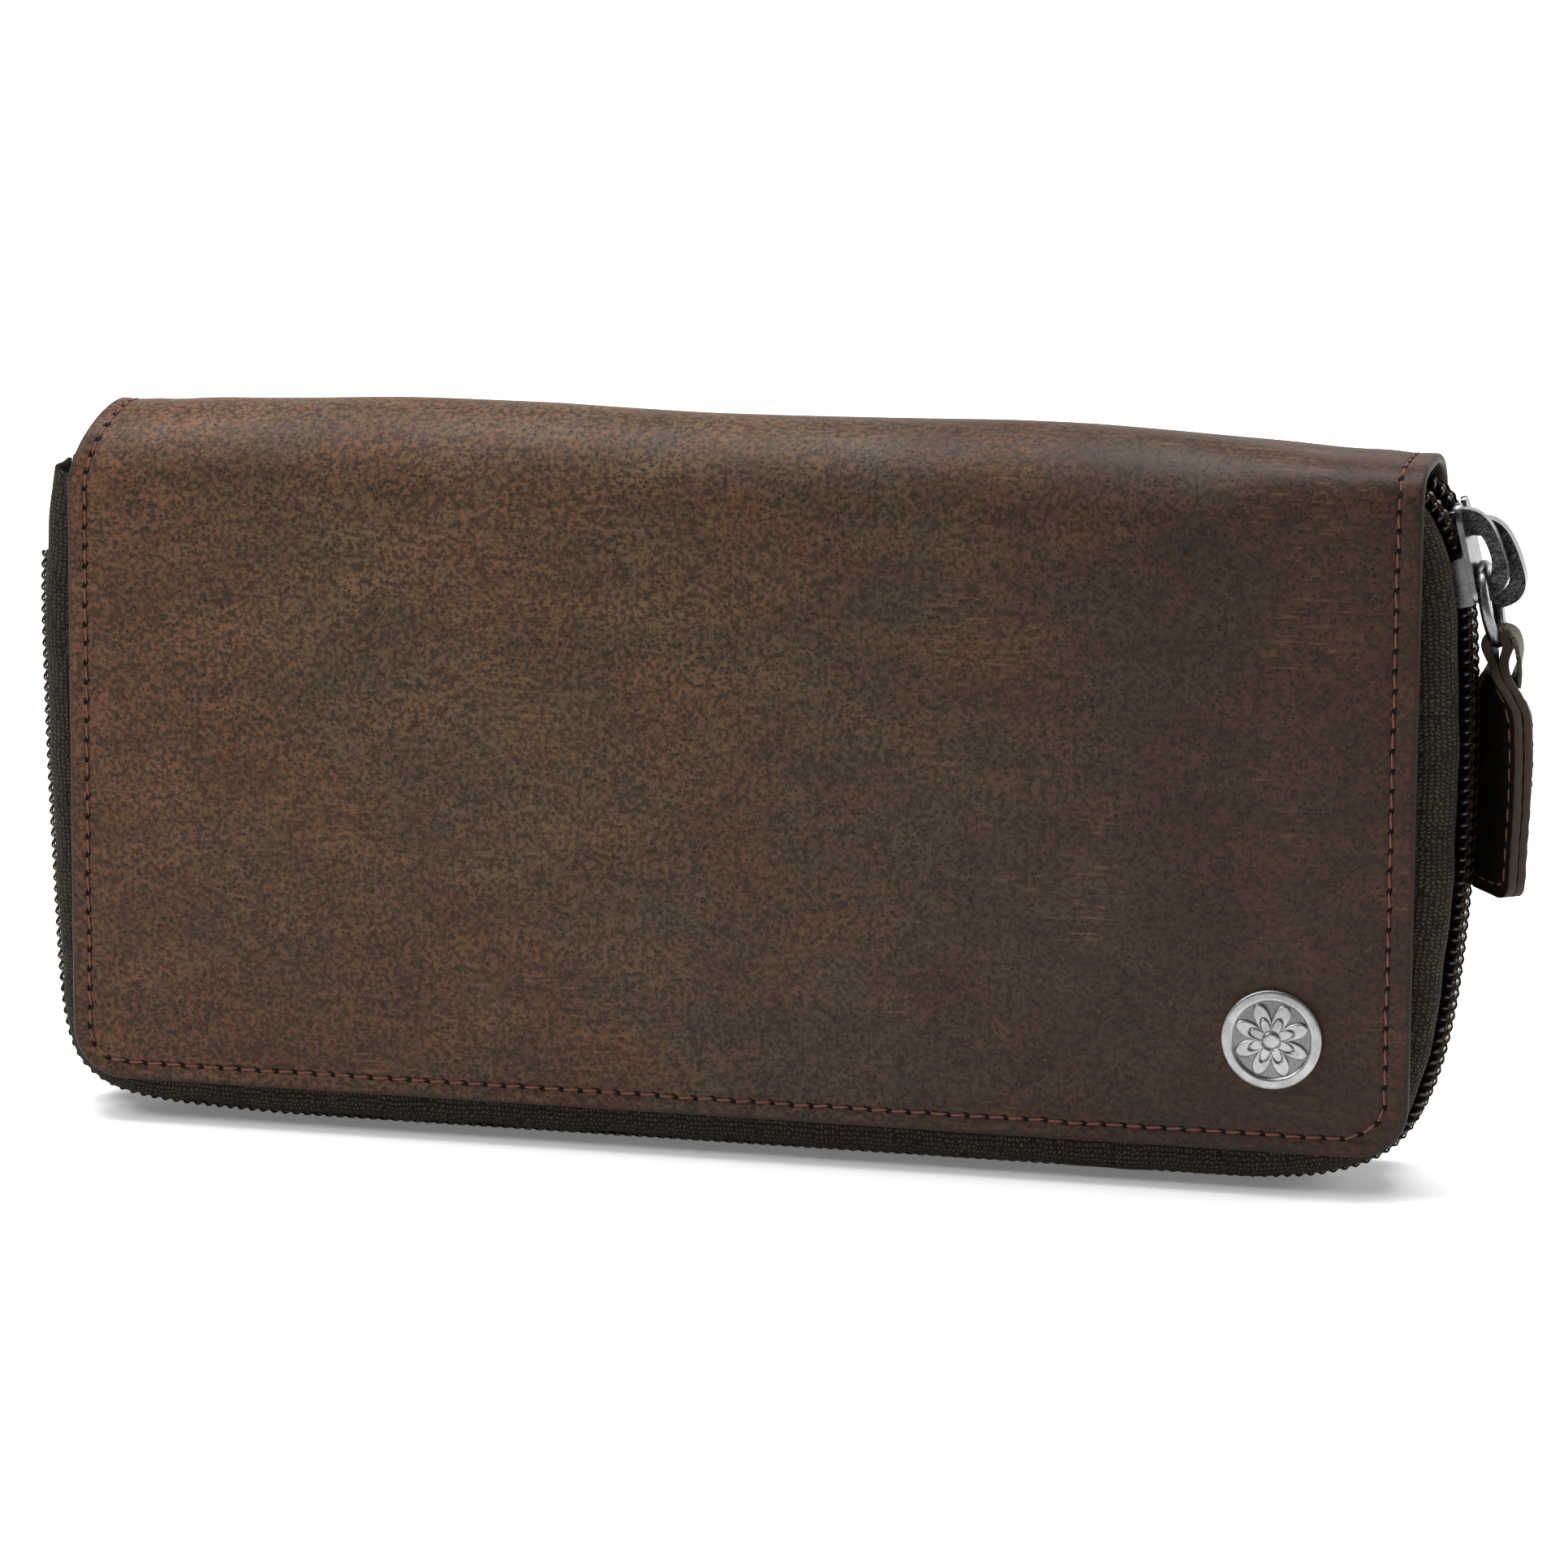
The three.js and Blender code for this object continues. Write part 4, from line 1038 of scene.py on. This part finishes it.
def make_slider():
    length, width = SLIDER_HALF_LENGTH, SLIDER_HALF_WIDTH
    half = [(-1.2, length - 1.8), (-1.9, length), (-3.9, length), (-width, length - 1.6),
            (-width, -length + 1.0), (-width + 1.2, -length)]
    blade = np.array(half + [(-y, v) for y, v in reversed(half)])
    blade = round_corners(blade, 0.8, 4)
    shapes = [prism(blade, BLADE_LOW, BLADE_HIGH, 0)]
    inner_blade = blade * [0.68, 0.93]
    shapes.append(prism(inner_blade, -4.3, -3.5, 0))
    post = round_corners([(-0.7, 2.4), (0.7, 2.4), (0.9, 5.6), (-0.9, 5.6)], 0.4, 3)
    shapes.append(prism(post, -3.9, BLADE_LOW + 0.2, 0))
    shapes += [flange(-1), flange(1)]
    slots = [0] * len(shapes)
    for lug in (NEAR_LUG, FAR_LUG):
        shapes.append(crown_lug(**lug))
        slots.append(1)
    piece = solid_piece("zip_slider", shapes, slots, [GUNMETAL, SHADED_GUNMETAL], 0.17)
    # Only the lugs' flat sides keep the darker metal, painted shade; their rims keep the plain gunmetal.
    for polygon in piece.data.polygons:
        if polygon.material_index == 1 and abs(polygon.normal.y) < 0.9:
            polygon.material_index = 0
    return piece


RING_WIRE = 0.82


def make_ring():
    down = unit(PULL_PIVOT - RING_PIVOT)
    radius = np.linalg.norm(PULL_PIVOT - RING_PIVOT) / 2
    centre = (PULL_PIVOT + RING_PIVOT) / 2
    angle = np.linspace(0, 2 * math.pi, 80, endpoint=False)
    path = centre + radius * (np.cos(angle)[:, None] * down + np.sin(angle)[:, None] * np.array([0, 1, 0]))
    verts, faces, uv = tube(path, RING_WIRE, sides=18, closed=True, up=np.cross(down, [0, 1, 0]))
    return build("pull_ring_wire", verts, faces, GUNMETAL, uv)


PULL_TWIST = math.radians(35)
PULL_HALF_WIDTH = 6.4
PULL_NECK = 2.9
PULL_LENGTH = 34.4
STRIP = 1.3
EYE = RING_WIRE + 0.05 + STRIP / 2


def pull_route():
    """The strip's middle line in side view: up the inner layer, round the ring and down the outer layer."""
    near = STRIP / 2 + 0.02
    points = [(-near, -PULL_LENGTH), (-near, -20), (-near, -2.6), (-near - 0.05, -2.1), (-near - 0.35, -1.6),
              (-EYE * 0.85, -0.95)]
    for a in np.radians(np.linspace(200, -20, 14)):
        points.append((EYE * math.cos(a), EYE * math.sin(a)))
    points += [(EYE * 0.85, -0.95), (near + 0.35, -1.6), (near + 0.05, -2.1), (near, -2.6), (near, -20),
               (near, -PULL_LENGTH)]
    return np.array(points)


def outer_bulge(across, down):
    """How far the pull's padded outer face swells, fullest at its far side."""
    profile = np.clip(1 - across**2, 0, 1) * (1 + 0.6 * across)
    return 3.3 * profile * smooth((down - 4.2) / 6.5) * smooth((28.5 - down) / 11.0)


def pull_bend(points):
    """Twists the pull about its length, bows it a little, and puts it on the ring."""
    p = np.asarray(points, float)
    down = np.clip(-p[..., 2], 0, None)
    turn = PULL_TWIST * smooth(down / 10.0)
    cos, sin = np.cos(turn), np.sin(turn)
    x = p[..., 0] * cos - p[..., 1] * sin
    y = p[..., 0] * sin + p[..., 1] * cos
    bow = np.interp(down, [0, 4, 9, 15, 22, 28, 35], [0, 0.15, 0.5, 0.8, 0.75, 0.5, 0.3])
    return np.stack([x + PULL_PIVOT[0] + bow, y, p[..., 2] + PULL_PIVOT[2]], -1)


def make_pull():
    """A leather strip folded over the ring. Its cut edges have a material of their own, and its faces turned
    to the wallet a darker copy of the pull leather, painted shade.
    """
    middle = curve_through(pull_route(), 220, 5)
    along = lengths_along(middle)
    out = left_of(middle)
    down = -middle[:, 1]
    neck = PULL_NECK + (PULL_HALF_WIDTH - PULL_NECK) * smooth((down - 1.0) / 6.0)
    corner = 2.6
    cut = np.clip(down - (PULL_LENGTH - corner), 0, corner)
    width = neck - (corner - np.sqrt(np.maximum(corner**2 - cut**2, 0)))
    edge = np.array([0.89, 0.95, 0.985, 1.0])
    across = np.concatenate([-edge[::-1], np.linspace(-0.8, 0.8, 17), edge])
    shrink = np.concatenate([[0.78, 0.93, 0.99, 1.0], np.ones(17), [1.0, 0.99, 0.93, 0.78]])
    count = len(across)
    loop_y = np.concatenate([across, across[::-1]])
    loop_side = np.concatenate([shrink, -shrink[::-1]])
    off = loop_side[None, :] * STRIP / 2
    y = loop_y[None, :] * width[:, None]
    bulge = outer_bulge(loop_y[None, :] * np.ones_like(y), down[:, None]) * (middle[:, :1] > 0)
    rough = 0.05 * np.sin(along[:, None] * 2.3 + loop_y[None, :] * 2) * (np.abs(loop_y[None, :]) > 0.97)
    x = middle[:, :1] + out[:, :1] * off + bulge + rough
    z = middle[:, 1:] + out[:, 1:] * off
    verts = pull_bend(np.stack([x, y, z], -1)).reshape(-1, 3)
    flat_v = along[:, None] + 40.0 * (loop_side[None, :] < 0)
    flat = np.stack([y, np.broadcast_to(flat_v, y.shape)], -1).reshape(-1, 2)
    rows, columns = y.shape
    rim = {0, count - 2, count - 1, count, 2 * count - 2, 2 * count - 1}
    wallet_side = middle[:, 0] < 0
    slots = [2 if j in rim else (0 if j < count and not wallet_side[i] else 1)
             for i in range(rows - 1) for j in range(columns)]
    slots += [2, 2] * (count - 1)
    materials = [PULL_LEATHER, PULL_SHADED_SIDE, RAW_EDGE]
    return build("leather_pull", verts, strip_faces(rows, columns), materials, flat, slots)


def make_pull_curl():
    """The tongue of grain leather that curls off the outer side of the eye."""
    bend = [(0.6, 2.0), (1.7, 1.8), (2.5, 0.8), (2.85, -0.7), (2.85, -2.4), (2.5, -4.2), (1.95, -6.0)]
    line = curve_through(bend, 26)
    out = left_of(line)
    half_width = np.interp(np.linspace(0, 1, len(line)), [0, 0.2, 0.7, 1], [2.2, 2.7, 2.9, 2.2])
    across = np.array([-1.0, -0.97, -0.85, -0.5, 0, 0.5, 0.85, 0.97, 1.0])
    thick = 0.35 * np.array([0.5, 0.85, 1, 1, 1, 1, 1, 0.85, 0.5])
    loop_y = np.concatenate([across, across[::-1]])
    off = np.concatenate([thick, -thick[::-1]])[None, :]
    y = loop_y[None, :] * half_width[:, None] - 0.3
    x = line[:, :1] + out[:, :1] * off
    z = line[:, 1:] + out[:, 1:] * off
    verts = pull_bend(np.stack([x, y, z], -1)).reshape(-1, 3)
    along = np.linspace(0, 9, len(line))[:, None] * np.ones_like(y)
    faces = grid_faces(*y.shape) + end_faces(*y.shape)
    return build("pull_curl", verts, faces, PULL_LEATHER, np.stack([y, along + 90], -1).reshape(-1, 2))


def make_pull_stitching():
    """The seam round both faces of the pull, and the ends of its thread."""
    parts = Parts()
    inset = PULL_HALF_WIDTH - 1.5
    foot = -PULL_LENGTH + 1.7
    corners = [(-inset + 1.3, -5.2), (-inset, -8.0), (-inset, foot), (inset, foot), (inset, -8.0),
               (inset - 1.3, -5.2)]
    route = walk(corners, PULL_STITCH, closed=False)
    surface = STRIP + 0.02
    for face in (-1, 1):
        bulge = outer_bulge(route[:, 0] / PULL_HALF_WIDTH, -route[:, 1]) if face > 0 else 0.0
        flat = np.stack([face * surface + bulge + 0 * route[:, 0], route[:, 0], route[:, 1]], -1)
        placed = pull_bend(flat)
        normal = unit(pull_bend(flat + [face * 0.1, 0, 0]) - placed)
        for i in range(len(placed) - 1):
            add_stitch(parts, placed[i], placed[i + 1], normal[i], **FINE_STITCH)
    # Frayed ends stand out where the seam starts and where it was joined.
    rng = np.random.default_rng(5)
    for down, count, length in ((5.6, 7, 1.5), (17.6, 2, 0.8)):
        root = np.array([surface + float(outer_bulge(np.float64(0.3), np.float64(down))), 1.5, -down])
        for _ in range(count):
            lean = np.array([1.0, rng.uniform(-0.5, 0.2), rng.uniform(-0.5, 0.35)])
            t = np.linspace(0, 1, 7)[:, None]
            curl = np.array([0, 0, -0.35]) * t**2
            path = pull_bend(root + rng.normal(0, 0.15, 3) * [0, 1, 1] + t * lean * length + curl)
            parts.add(*tube(path, np.linspace(0.10, 0.05, 7), sides=5))
    return parts.build("pull_stitching", [THREAD, HOLE_SHADE])


# ---- badge ----------------------------------------------------------------------------------
PETALS = 8
BADGE_RIM, BADGE_HEART = 0.80, 0.15
BADGE_THICK = 0.75


def badge_relief(r, angle):
    """The height of the badge's face at radius r (0 to 1), and how far it's cut back: a rim and a rosette."""
    turn = np.abs(np.sin(PETALS / 2 * angle))
    lobe = 0.30 + 0.44 * turn**0.8
    line = 0.035
    recess = np.zeros_like(r)
    outside_lobe = smooth((r - lobe) / line) * smooth((BADGE_RIM - r) / line)
    recess = np.maximum(recess, outside_lobe)
    inner_lobe = lobe * 0.66
    ring = smooth((r - inner_lobe + 0.05) / line) * smooth((inner_lobe + 0.02 - r) / line)
    recess = np.maximum(recess, ring)
    heart = smooth((BADGE_HEART - r) / line)
    recess = np.maximum(recess, smooth((r - BADGE_HEART) / line) * smooth((BADGE_HEART + 0.06 - r) / line))
    dome = 0.25 * (1 - r**2)
    rim = 0.12 * smooth((r - BADGE_RIM) / 0.03) * smooth((1.02 - r) / 0.08)
    return dome + rim + 0.1 * heart - 0.26 * recess, recess


def badge_material():
    """Antique silver, darker where the relief attribute says the face is cut back."""
    s = Shader("badge_silver", metallic=1.0)
    place = s.object_millimetres()
    deep = s.add("Attribute", attribute_name="relief").outputs["Fac"]
    clouds = s.noise(place, 0.4, 4.0, 0.6)
    pits = s.noise(place, 4.0, 3.0, 0.7)
    tone = s.mix(s.ramp(clouds, 0.3, 0.7), rgb(0.26, 0.26, 0.26), rgb(0.36, 0.36, 0.36))
    recess = s.mix(s.ramp(pits, 0.3, 0.7), rgb(0.10, 0.10, 0.10), rgb(0.19, 0.19, 0.19))
    tone = s.mix(s.ramp(deep, 0.35, 0.8), tone, recess)
    gloss = s.ramp(pits, 0.3, 0.7, 0.26, 0.42)
    return s.finish(base_color=tone, roughness=gloss, normal=s.bump(pits, 0.2, 0.00004))


def make_badge():
    low, high = node_box("badge_rivet")
    centre_x, centre_z = (low[0] + high[0]) / 2, (low[2] + high[2]) / 2
    radius = (high[0] - low[0]) / 2
    face_y = float(shell_point(centre_x, centre_z - PANEL_BOTTOM)[1]) - 0.05
    r = np.concatenate([[0.001], np.linspace(0.03, 0.97, 62), [0.985, 0.997, 1.0, 0.99]])
    angle = np.linspace(0, 2 * math.pi, 224, endpoint=False)
    rr, aa = np.meshgrid(r, angle, indexing="ij")
    height, recess = badge_relief(rr, aa)
    level = BADGE_THICK + height
    level[-3] -= 0.05
    level[-2] -= 0.18
    level[-1] = -0.1
    x = centre_x + radius * rr * np.sin(aa)
    z = centre_z + radius * rr * np.cos(aa)
    verts = np.stack([x, face_y - level, z], -1).reshape(-1, 3)
    faces = grid_faces(*rr.shape) + end_faces(*rr.shape)
    uv = np.stack([radius * rr * np.sin(aa), radius * rr * np.cos(aa)], -1).reshape(-1, 2)
    piece = build("badge", verts, faces, badge_material(), uv)
    attribute = piece.data.attributes.new("relief", "FLOAT", "POINT")
    attribute.data.foreach_set("value", recess.ravel())
    return piece


# ---- inside ---------------------------------------------------------------------------------
def even_steps(low, high, edge, step):
    """Levels between two limits, close together along both edges."""
    fine = edge * np.array([0, 0.08, 0.3, 0.65, 1.0, 1.6, 2.6, 4.0])
    count = max(3, int((high - low - 2 * fine[-1]) / step) + 1)
    middle = np.linspace(low + fine[-1], high - fine[-1], count)[1:-1]
    return np.concatenate([low + fine, middle, (high - fine)[::-1]])


def make_sheet(name, node, material, corner=1.5, wave=0.05, hem=None):
    """A soft sheet in a node's space: rounded edges and corners, a little unevenness, and a turned hem.

    hem is (lower limit, upper limit, the depth direction that it thickens towards)."""
    low, high = node_box(node)
    radius = (high[1] - low[1]) / 2
    middle_y = (high[1] + low[1]) / 2
    z = even_steps(low[2], high[2], radius, 2.4)
    near_end = np.minimum(z - low[2], high[2] - z)
    short = np.clip(corner - near_end, 0, corner)
    pull_in = corner - np.sqrt(np.maximum(corner**2 - short**2, 0))
    span = even_steps(-1, 1, radius / high[0], 4.0 / high[0])
    centre_x, half = (high[0] + low[0]) / 2, (high[0] - low[0]) / 2
    x = centre_x + span[None, :] * (half - pull_in)[:, None]
    zz = np.broadcast_to(z[:, None], x.shape)
    inside = np.minimum(half - np.abs(x - centre_x), near_end[:, None])
    near = np.clip(radius - inside, 0, radius)
    drop = radius - np.sqrt(np.maximum(radius**2 - near**2, 0))
    uneven = np.sin(x / 8.3 + zz / 14.0 + middle_y) + 0.5 * np.sin(x / 3.9 - zz / 6.1 + 2 * middle_y)
    uneven = wave * uneven * smooth((inside - 1.0) / 6.0)
    front, back = middle_y - radius + drop + uneven, middle_y + radius - drop + uneven
    if hem:
        hem_low, hem_high, towards = hem
        thicker = 0.16 * smooth((zz - hem_low + 0.4) / 0.4) * smooth((hem_high - zz) / 0.4)
        thicker = thicker * (drop < 0.9 * radius)
        front = front - thicker * (towards < 0)
        back = back + thicker * (towards > 0)
    faces = [np.stack([x, y, zz], -1) for y in (front, back)]
    return build_sheet(name, *faces, np.stack([x, zz], -1), [0, 200], material)


def sew(parts, lines, y, towards):
    """Straight rows of stitches on an inner face. Each line is its two ends as (x, z)."""
    normal = np.array([0.0, towards, 0.0])
    for start, end in lines:
        route = walk([start, end], INNER_STITCH, closed=False)
        placed = np.stack([route[:, 0], np.full(len(route), y), route[:, 1]], -1)
        for i in range(len(placed) - 1):
            add_stitch(parts, placed[i], placed[i + 1], normal, **FINE_STITCH)


def make_pockets(body, side):
    """The lining and stepped card pockets of one cover. side is -1 for the front cover and 1 for the back."""
    label = "front" if side < 0 else "back"
    towards = -side
    put(make_sheet(label + "_lining_cloth", label + "_lining", LINING, 5.0, 0.06), body,
        (label + "_lining",))
    seams = Parts()
    layers = [label + "_card_base", label + "_card_pocket_lower", label + "_card_pocket_upper"]
    for layer, above in zip(layers, layers[1:] + [None]):
        low, high = node_box(layer)
        hem = (low[2], low[2] + 5.2, towards)
        sheet = make_sheet(layer + "_leather", layer, POCKET_LEATHER, 2.0, 0.04, hem)
        put(sheet, body, (layer,))
        y = (low if side > 0 else high)[1] + towards * 0.17
        top = node_box(above)[0][2] - 0.6 if above else high[2] - 1.6
        ends = high[0] - 1.7
        lines = [((-ends, low[2] + 4.0), (ends, low[2] + 4.0)), ((-ends, low[2] + 1.0), (-ends, top)),
                 ((ends, low[2] + 1.0), (ends, top)), ((0.0, low[2] + 5.4), (0.0, top))]
        if above is None:
            lines.append(((-ends, top), (ends, top)))
        sew(seams, lines, y, towards)
    low, high = node_box(label + "_lining")
    side_x, foot, head = high[0] - 1.5, low[2] + 0.6, high[2] - 3.0
    lines = [((-side_x, foot + 4), (-side_x, head)), ((side_x, foot + 4), (side_x, head)),
             ((-side_x + 4, foot), (side_x - 4, foot))]
    sew(seams, lines, (low if side > 0 else high)[1] + towards * 0.02, towards)
    put(seams.build(label + "_pocket_stitching", [THREAD, HOLE_SHADE]), body)


def make_spine_lining():
    """The cloth under the spine, just inside the leather."""
    x = np.linspace(-88, 82, 120)
    s = np.linspace(STRAIGHT - 2.4, STRAIGHT + ARCH + 2.4, 60)
    xx, ss = np.meshgrid(x, s, indexing="xy")
    surface, normal = shell_point(xx, ss), shell_normal(xx, ss)
    over = np.clip((ss - s[0]) / (s[-1] - s[0]), 0, 1)
    pucker = 0.10 * np.sin(xx / 2.7 + 0.8 * np.sin(ss / 5.0)) * np.sin(math.pi * over)
    outer = surface - normal * (LEATHER + 0.15 + pucker)[..., None]
    inner = surface - normal * (LEATHER + 0.60 + pucker)[..., None]
    return build_sheet("spine_lining_cloth", outer, inner, np.stack([xx, ss], -1), [0, 300], LINING)


def make_gusset(side):
    """Pleated cloth between the covers at one end. side is -1 for the left and 1 for the right."""
    name = "gusset_right" if side > 0 else "gusset_left"
    low, high = node_box(name)
    far = max(abs(low[0]), abs(high[0]))
    crest, valley = far - 0.6, far - 7.0
    folds = [(crest, high[1] - 0.3), (valley, high[1] / 2), (crest, 0.0), (valley, low[1] / 2),
             (crest, low[1] + 0.3)]
    line = curve_through(folds, 90, 5)
    out = -left_of(line)
    z = np.linspace(low[2], high[2], 48)[:, None]
    # The pleats are shallower towards the cloth's cut lower end.
    softer = 1 - 0.12 * smooth((low[2] + 20 - z) / 20)
    crumple = 0.12 * np.sin(z / 4.1 + line[:, 1] * 0.9) * np.sin(math.pi * np.linspace(0, 1, len(line)))
    x = crest - (crest - line[:, 0]) * softer + crumple
    faces = []
    for shift in (0.22, -0.22):
        shifted = [side * (x + out[:, 0] * shift), line[:, 1] + out[:, 1] * shift, z]
        faces.append(np.stack(np.broadcast_arrays(*shifted), -1))
    flat = np.stack(np.broadcast_arrays(lengths_along(line), z), -1)
    piece = build_sheet(name + "_cloth", *faces, flat, [80, 0], LINING)
    tidy_normals(piece)
    return piece


COIN_COIL_PITCH = 1.3


def make_coin_coil(node, row):
    """One row of the coin zip's loops."""
    low, high = node_box(node)
    turns = int((high[0] - low[0]) / COIN_COIL_PITCH)
    t = np.arange(turns * 10 + 1) / 10
    phase = 2 * math.pi * t + (math.pi if row > 0 else 0)
    x = low[0] + 0.4 + COIN_COIL_PITCH * t + 0.3 * np.sin(phase)
    middle_y, middle_z = (low[1] + high[1]) / 2, (low[2] + high[2]) / 2
    path = np.stack([x, middle_y + 0.42 * np.sin(phase), middle_z + 0.55 * np.cos(phase)], -1)
    parts = Parts()
    parts.add(*tube(path, 0.24, sides=6, up=(0.2, 0.1, 1)))
    x = np.linspace(low[0] + 0.5, high[0] - 0.5, 80)
    core = np.stack([x, np.full(80, middle_y), np.full(80, middle_z)], -1)
    parts.add(*tube(core, 0.3, sides=6), 1)
    return parts.build(node + "_loops", [NYLON, CORD])


def make_binding(node, along):
    """A turned strip of leather that closes an edge of the coin pocket. along is its long direction."""
    low, high = node_box(node)
    middle, half = (low + high) / 2, (high - low) / 2
    steps = np.linspace(low[along], high[along], 90)
    path = np.repeat(middle[None, :], len(steps), 0)
    path[:, along] = steps
    thin = 2 - along
    up = np.eye(3)[thin]
    width, flat = half[1], half[thin] / half[1]
    radius = width * (1 - 0.10 * (0.5 + 0.5 * np.sin(steps / 1.35)))
    verts, faces, uv = tube(path, radius, sides=14, up=up, flat=flat)
    return build(node + "_binding", verts, faces, POCKET_LEATHER, uv)


def make_coin_pocket():
    body = "coin_pocket"
    front_low, front_high = node_box("coin_front_wall")
    hems = {"coin_front_wall": (front_low[2], front_low[2] + 4.0, -1), "coin_front_hem": None,
            "coin_back_wall": None}
    for node, hem in hems.items():
        sheet = make_sheet(node + "_leather", node, POCKET_LEATHER, 1.2, 0.05, hem)
        put(sheet, body, (node,))
    for node in ("coin_zip_tape_lower", "coin_zip_tape_upper"):
        put(make_sheet(node + "_cloth", node, TAPE, 0.3, 0.0), body, (node,))
    for node, row in (("coin_zip_coil_lower", -1), ("coin_zip_coil_upper", 1)):
        put(make_coin_coil(node, row), body, (node,))
    put(make_binding("coin_seam_spine", 0), body, ("coin_seam_spine",))
    for node in ("coin_seam_left", "coin_seam_right"):
        put(make_binding(node, 2), body, (node,))
    seams = Parts()
    hem_top = node_box("coin_front_hem")[1][2]
    back_face = node_box("coin_back_wall")[1][1]
    ends, top, back_foot = front_high[0] - 1.6, 78.4, 15.6
    sew(seams, [((-ends, hem_top - 1.3), (ends, hem_top - 1.3))], front_low[1] - 0.01, -1)
    sew(seams, [((-ends, front_low[2] + 1.3), (ends, front_low[2] + 1.3))], front_low[1] - 0.17, -1)
    sew(seams, [((-ends, front_low[2] + 4.6), (-ends, top)), ((ends, front_low[2] + 4.6), (ends, top)),
                ((-ends, top), (ends, top))], front_low[1] - 0.01, -1)
    sew(seams, [((-ends, back_foot), (ends, back_foot)), ((-ends, back_foot + 1.4), (-ends, top)),
                ((ends, back_foot + 1.4), (ends, top)), ((-ends, top), (ends, top))], back_face + 0.01, 1)
    put(seams.build("coin_pocket_stitching", [THREAD, HOLE_SHADE]), body)


# ---- floor ----------------------------------------------------------------------------------
def ring_surface(name, profile, material):
    """A surface of revolution about the upright axis. profile lists (radius, height) in metres."""
    angle = np.linspace(0, 2 * math.pi, 64, endpoint=False)
    verts = [(r * math.cos(a), r * math.sin(a), z) for r, z in profile for a in angle]
    mesh = bpy.data.meshes.new(name)
    mesh.from_pydata(verts, [], grid_faces(len(profile), len(angle)))
    mesh.materials.append(material)
    mesh.shade_smooth()
    piece = bpy.data.objects.new(name, mesh)
    bpy.context.collection.objects.link(piece)


def make_floor():
    level, reach, bend = -0.0001, 2.2, 0.6
    ring_surface("floor", [(0.0005, level), (0.4, level), (1.0, level), (reach, level)], floor_material())
    wall = [(reach + bend * math.sin(a), level + bend - bend * math.cos(a)) for a in np.linspace(0, 1.5, 14)]
    ring_surface("backdrop", wall + [(2.82, 1.2)], backdrop_material())


# ---- the scene ------------------------------------------------------------------------------
make_camera()
make_lights()
make_floor()


def put(piece, body=None, replaces=()):
    if replaces:
        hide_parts(*replaces)
    if body:
        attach(piece, body)
    return piece


shell = put(make_shell(), replaces=("front_leather", "back_leather", "spine_leather"))
stitching = put(make_shell_stitching())
for piece in (shell, stitching):
    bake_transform(piece)

put(make_tape("back_tape", 1), "shell", ("back_zip_tape",))
put(make_coil("back_coil", 1), "shell", ("back_zip_coil",))
put(make_coil_threads("back_coil_threads", 1), "shell")
front_tape = put(make_tape("front_tape", -1),
                 replaces=("front_zip_tape", "front_zip_tape_end_left", "front_zip_tape_end_right"))
front_coil = put(make_coil("front_coil", -1),
                 replaces=("front_zip_coil", "front_zip_coil_end_left", "front_zip_coil_end_right"))
front_threads = put(make_coil_threads("front_coil_threads", -1))
for piece in (front_tape, front_coil, front_threads):
    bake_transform(piece)

put(make_slider(), "zip_slider", ("slider_body",))
put(make_ring(), "pull_ring", ("pull_ring",))
put(make_pull(), "pull_tab", ("pull_tab",))
put(make_pull_curl(), "pull_tab")
put(make_pull_stitching(), "pull_tab")
put(make_badge(), "front_cover", ("badge_rivet",))

make_pockets("front_cover", -1)
make_pockets("shell", 1)
make_coin_pocket()
spine_lining = put(make_spine_lining(), replaces=("spine_lining",))
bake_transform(spine_lining)
for side, node_name in ((-1, "gusset_left"), (1, "gusset_right")):
    gusset = put(make_gusset(side), replaces=(node_name,))
    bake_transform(gusset)

CAD_MATERIALS = {
    "front_stiffener": BOARD, "back_stiffener": BOARD, "badge_washer": GUNMETAL,
    "coin_slider": GUNMETAL, "coin_puller": GUNMETAL,
}
for node_name, material in CAD_MATERIALS.items():
    node = frame["nodes"][node_name]
    node.data.materials.clear()
    node.data.materials.append(material)
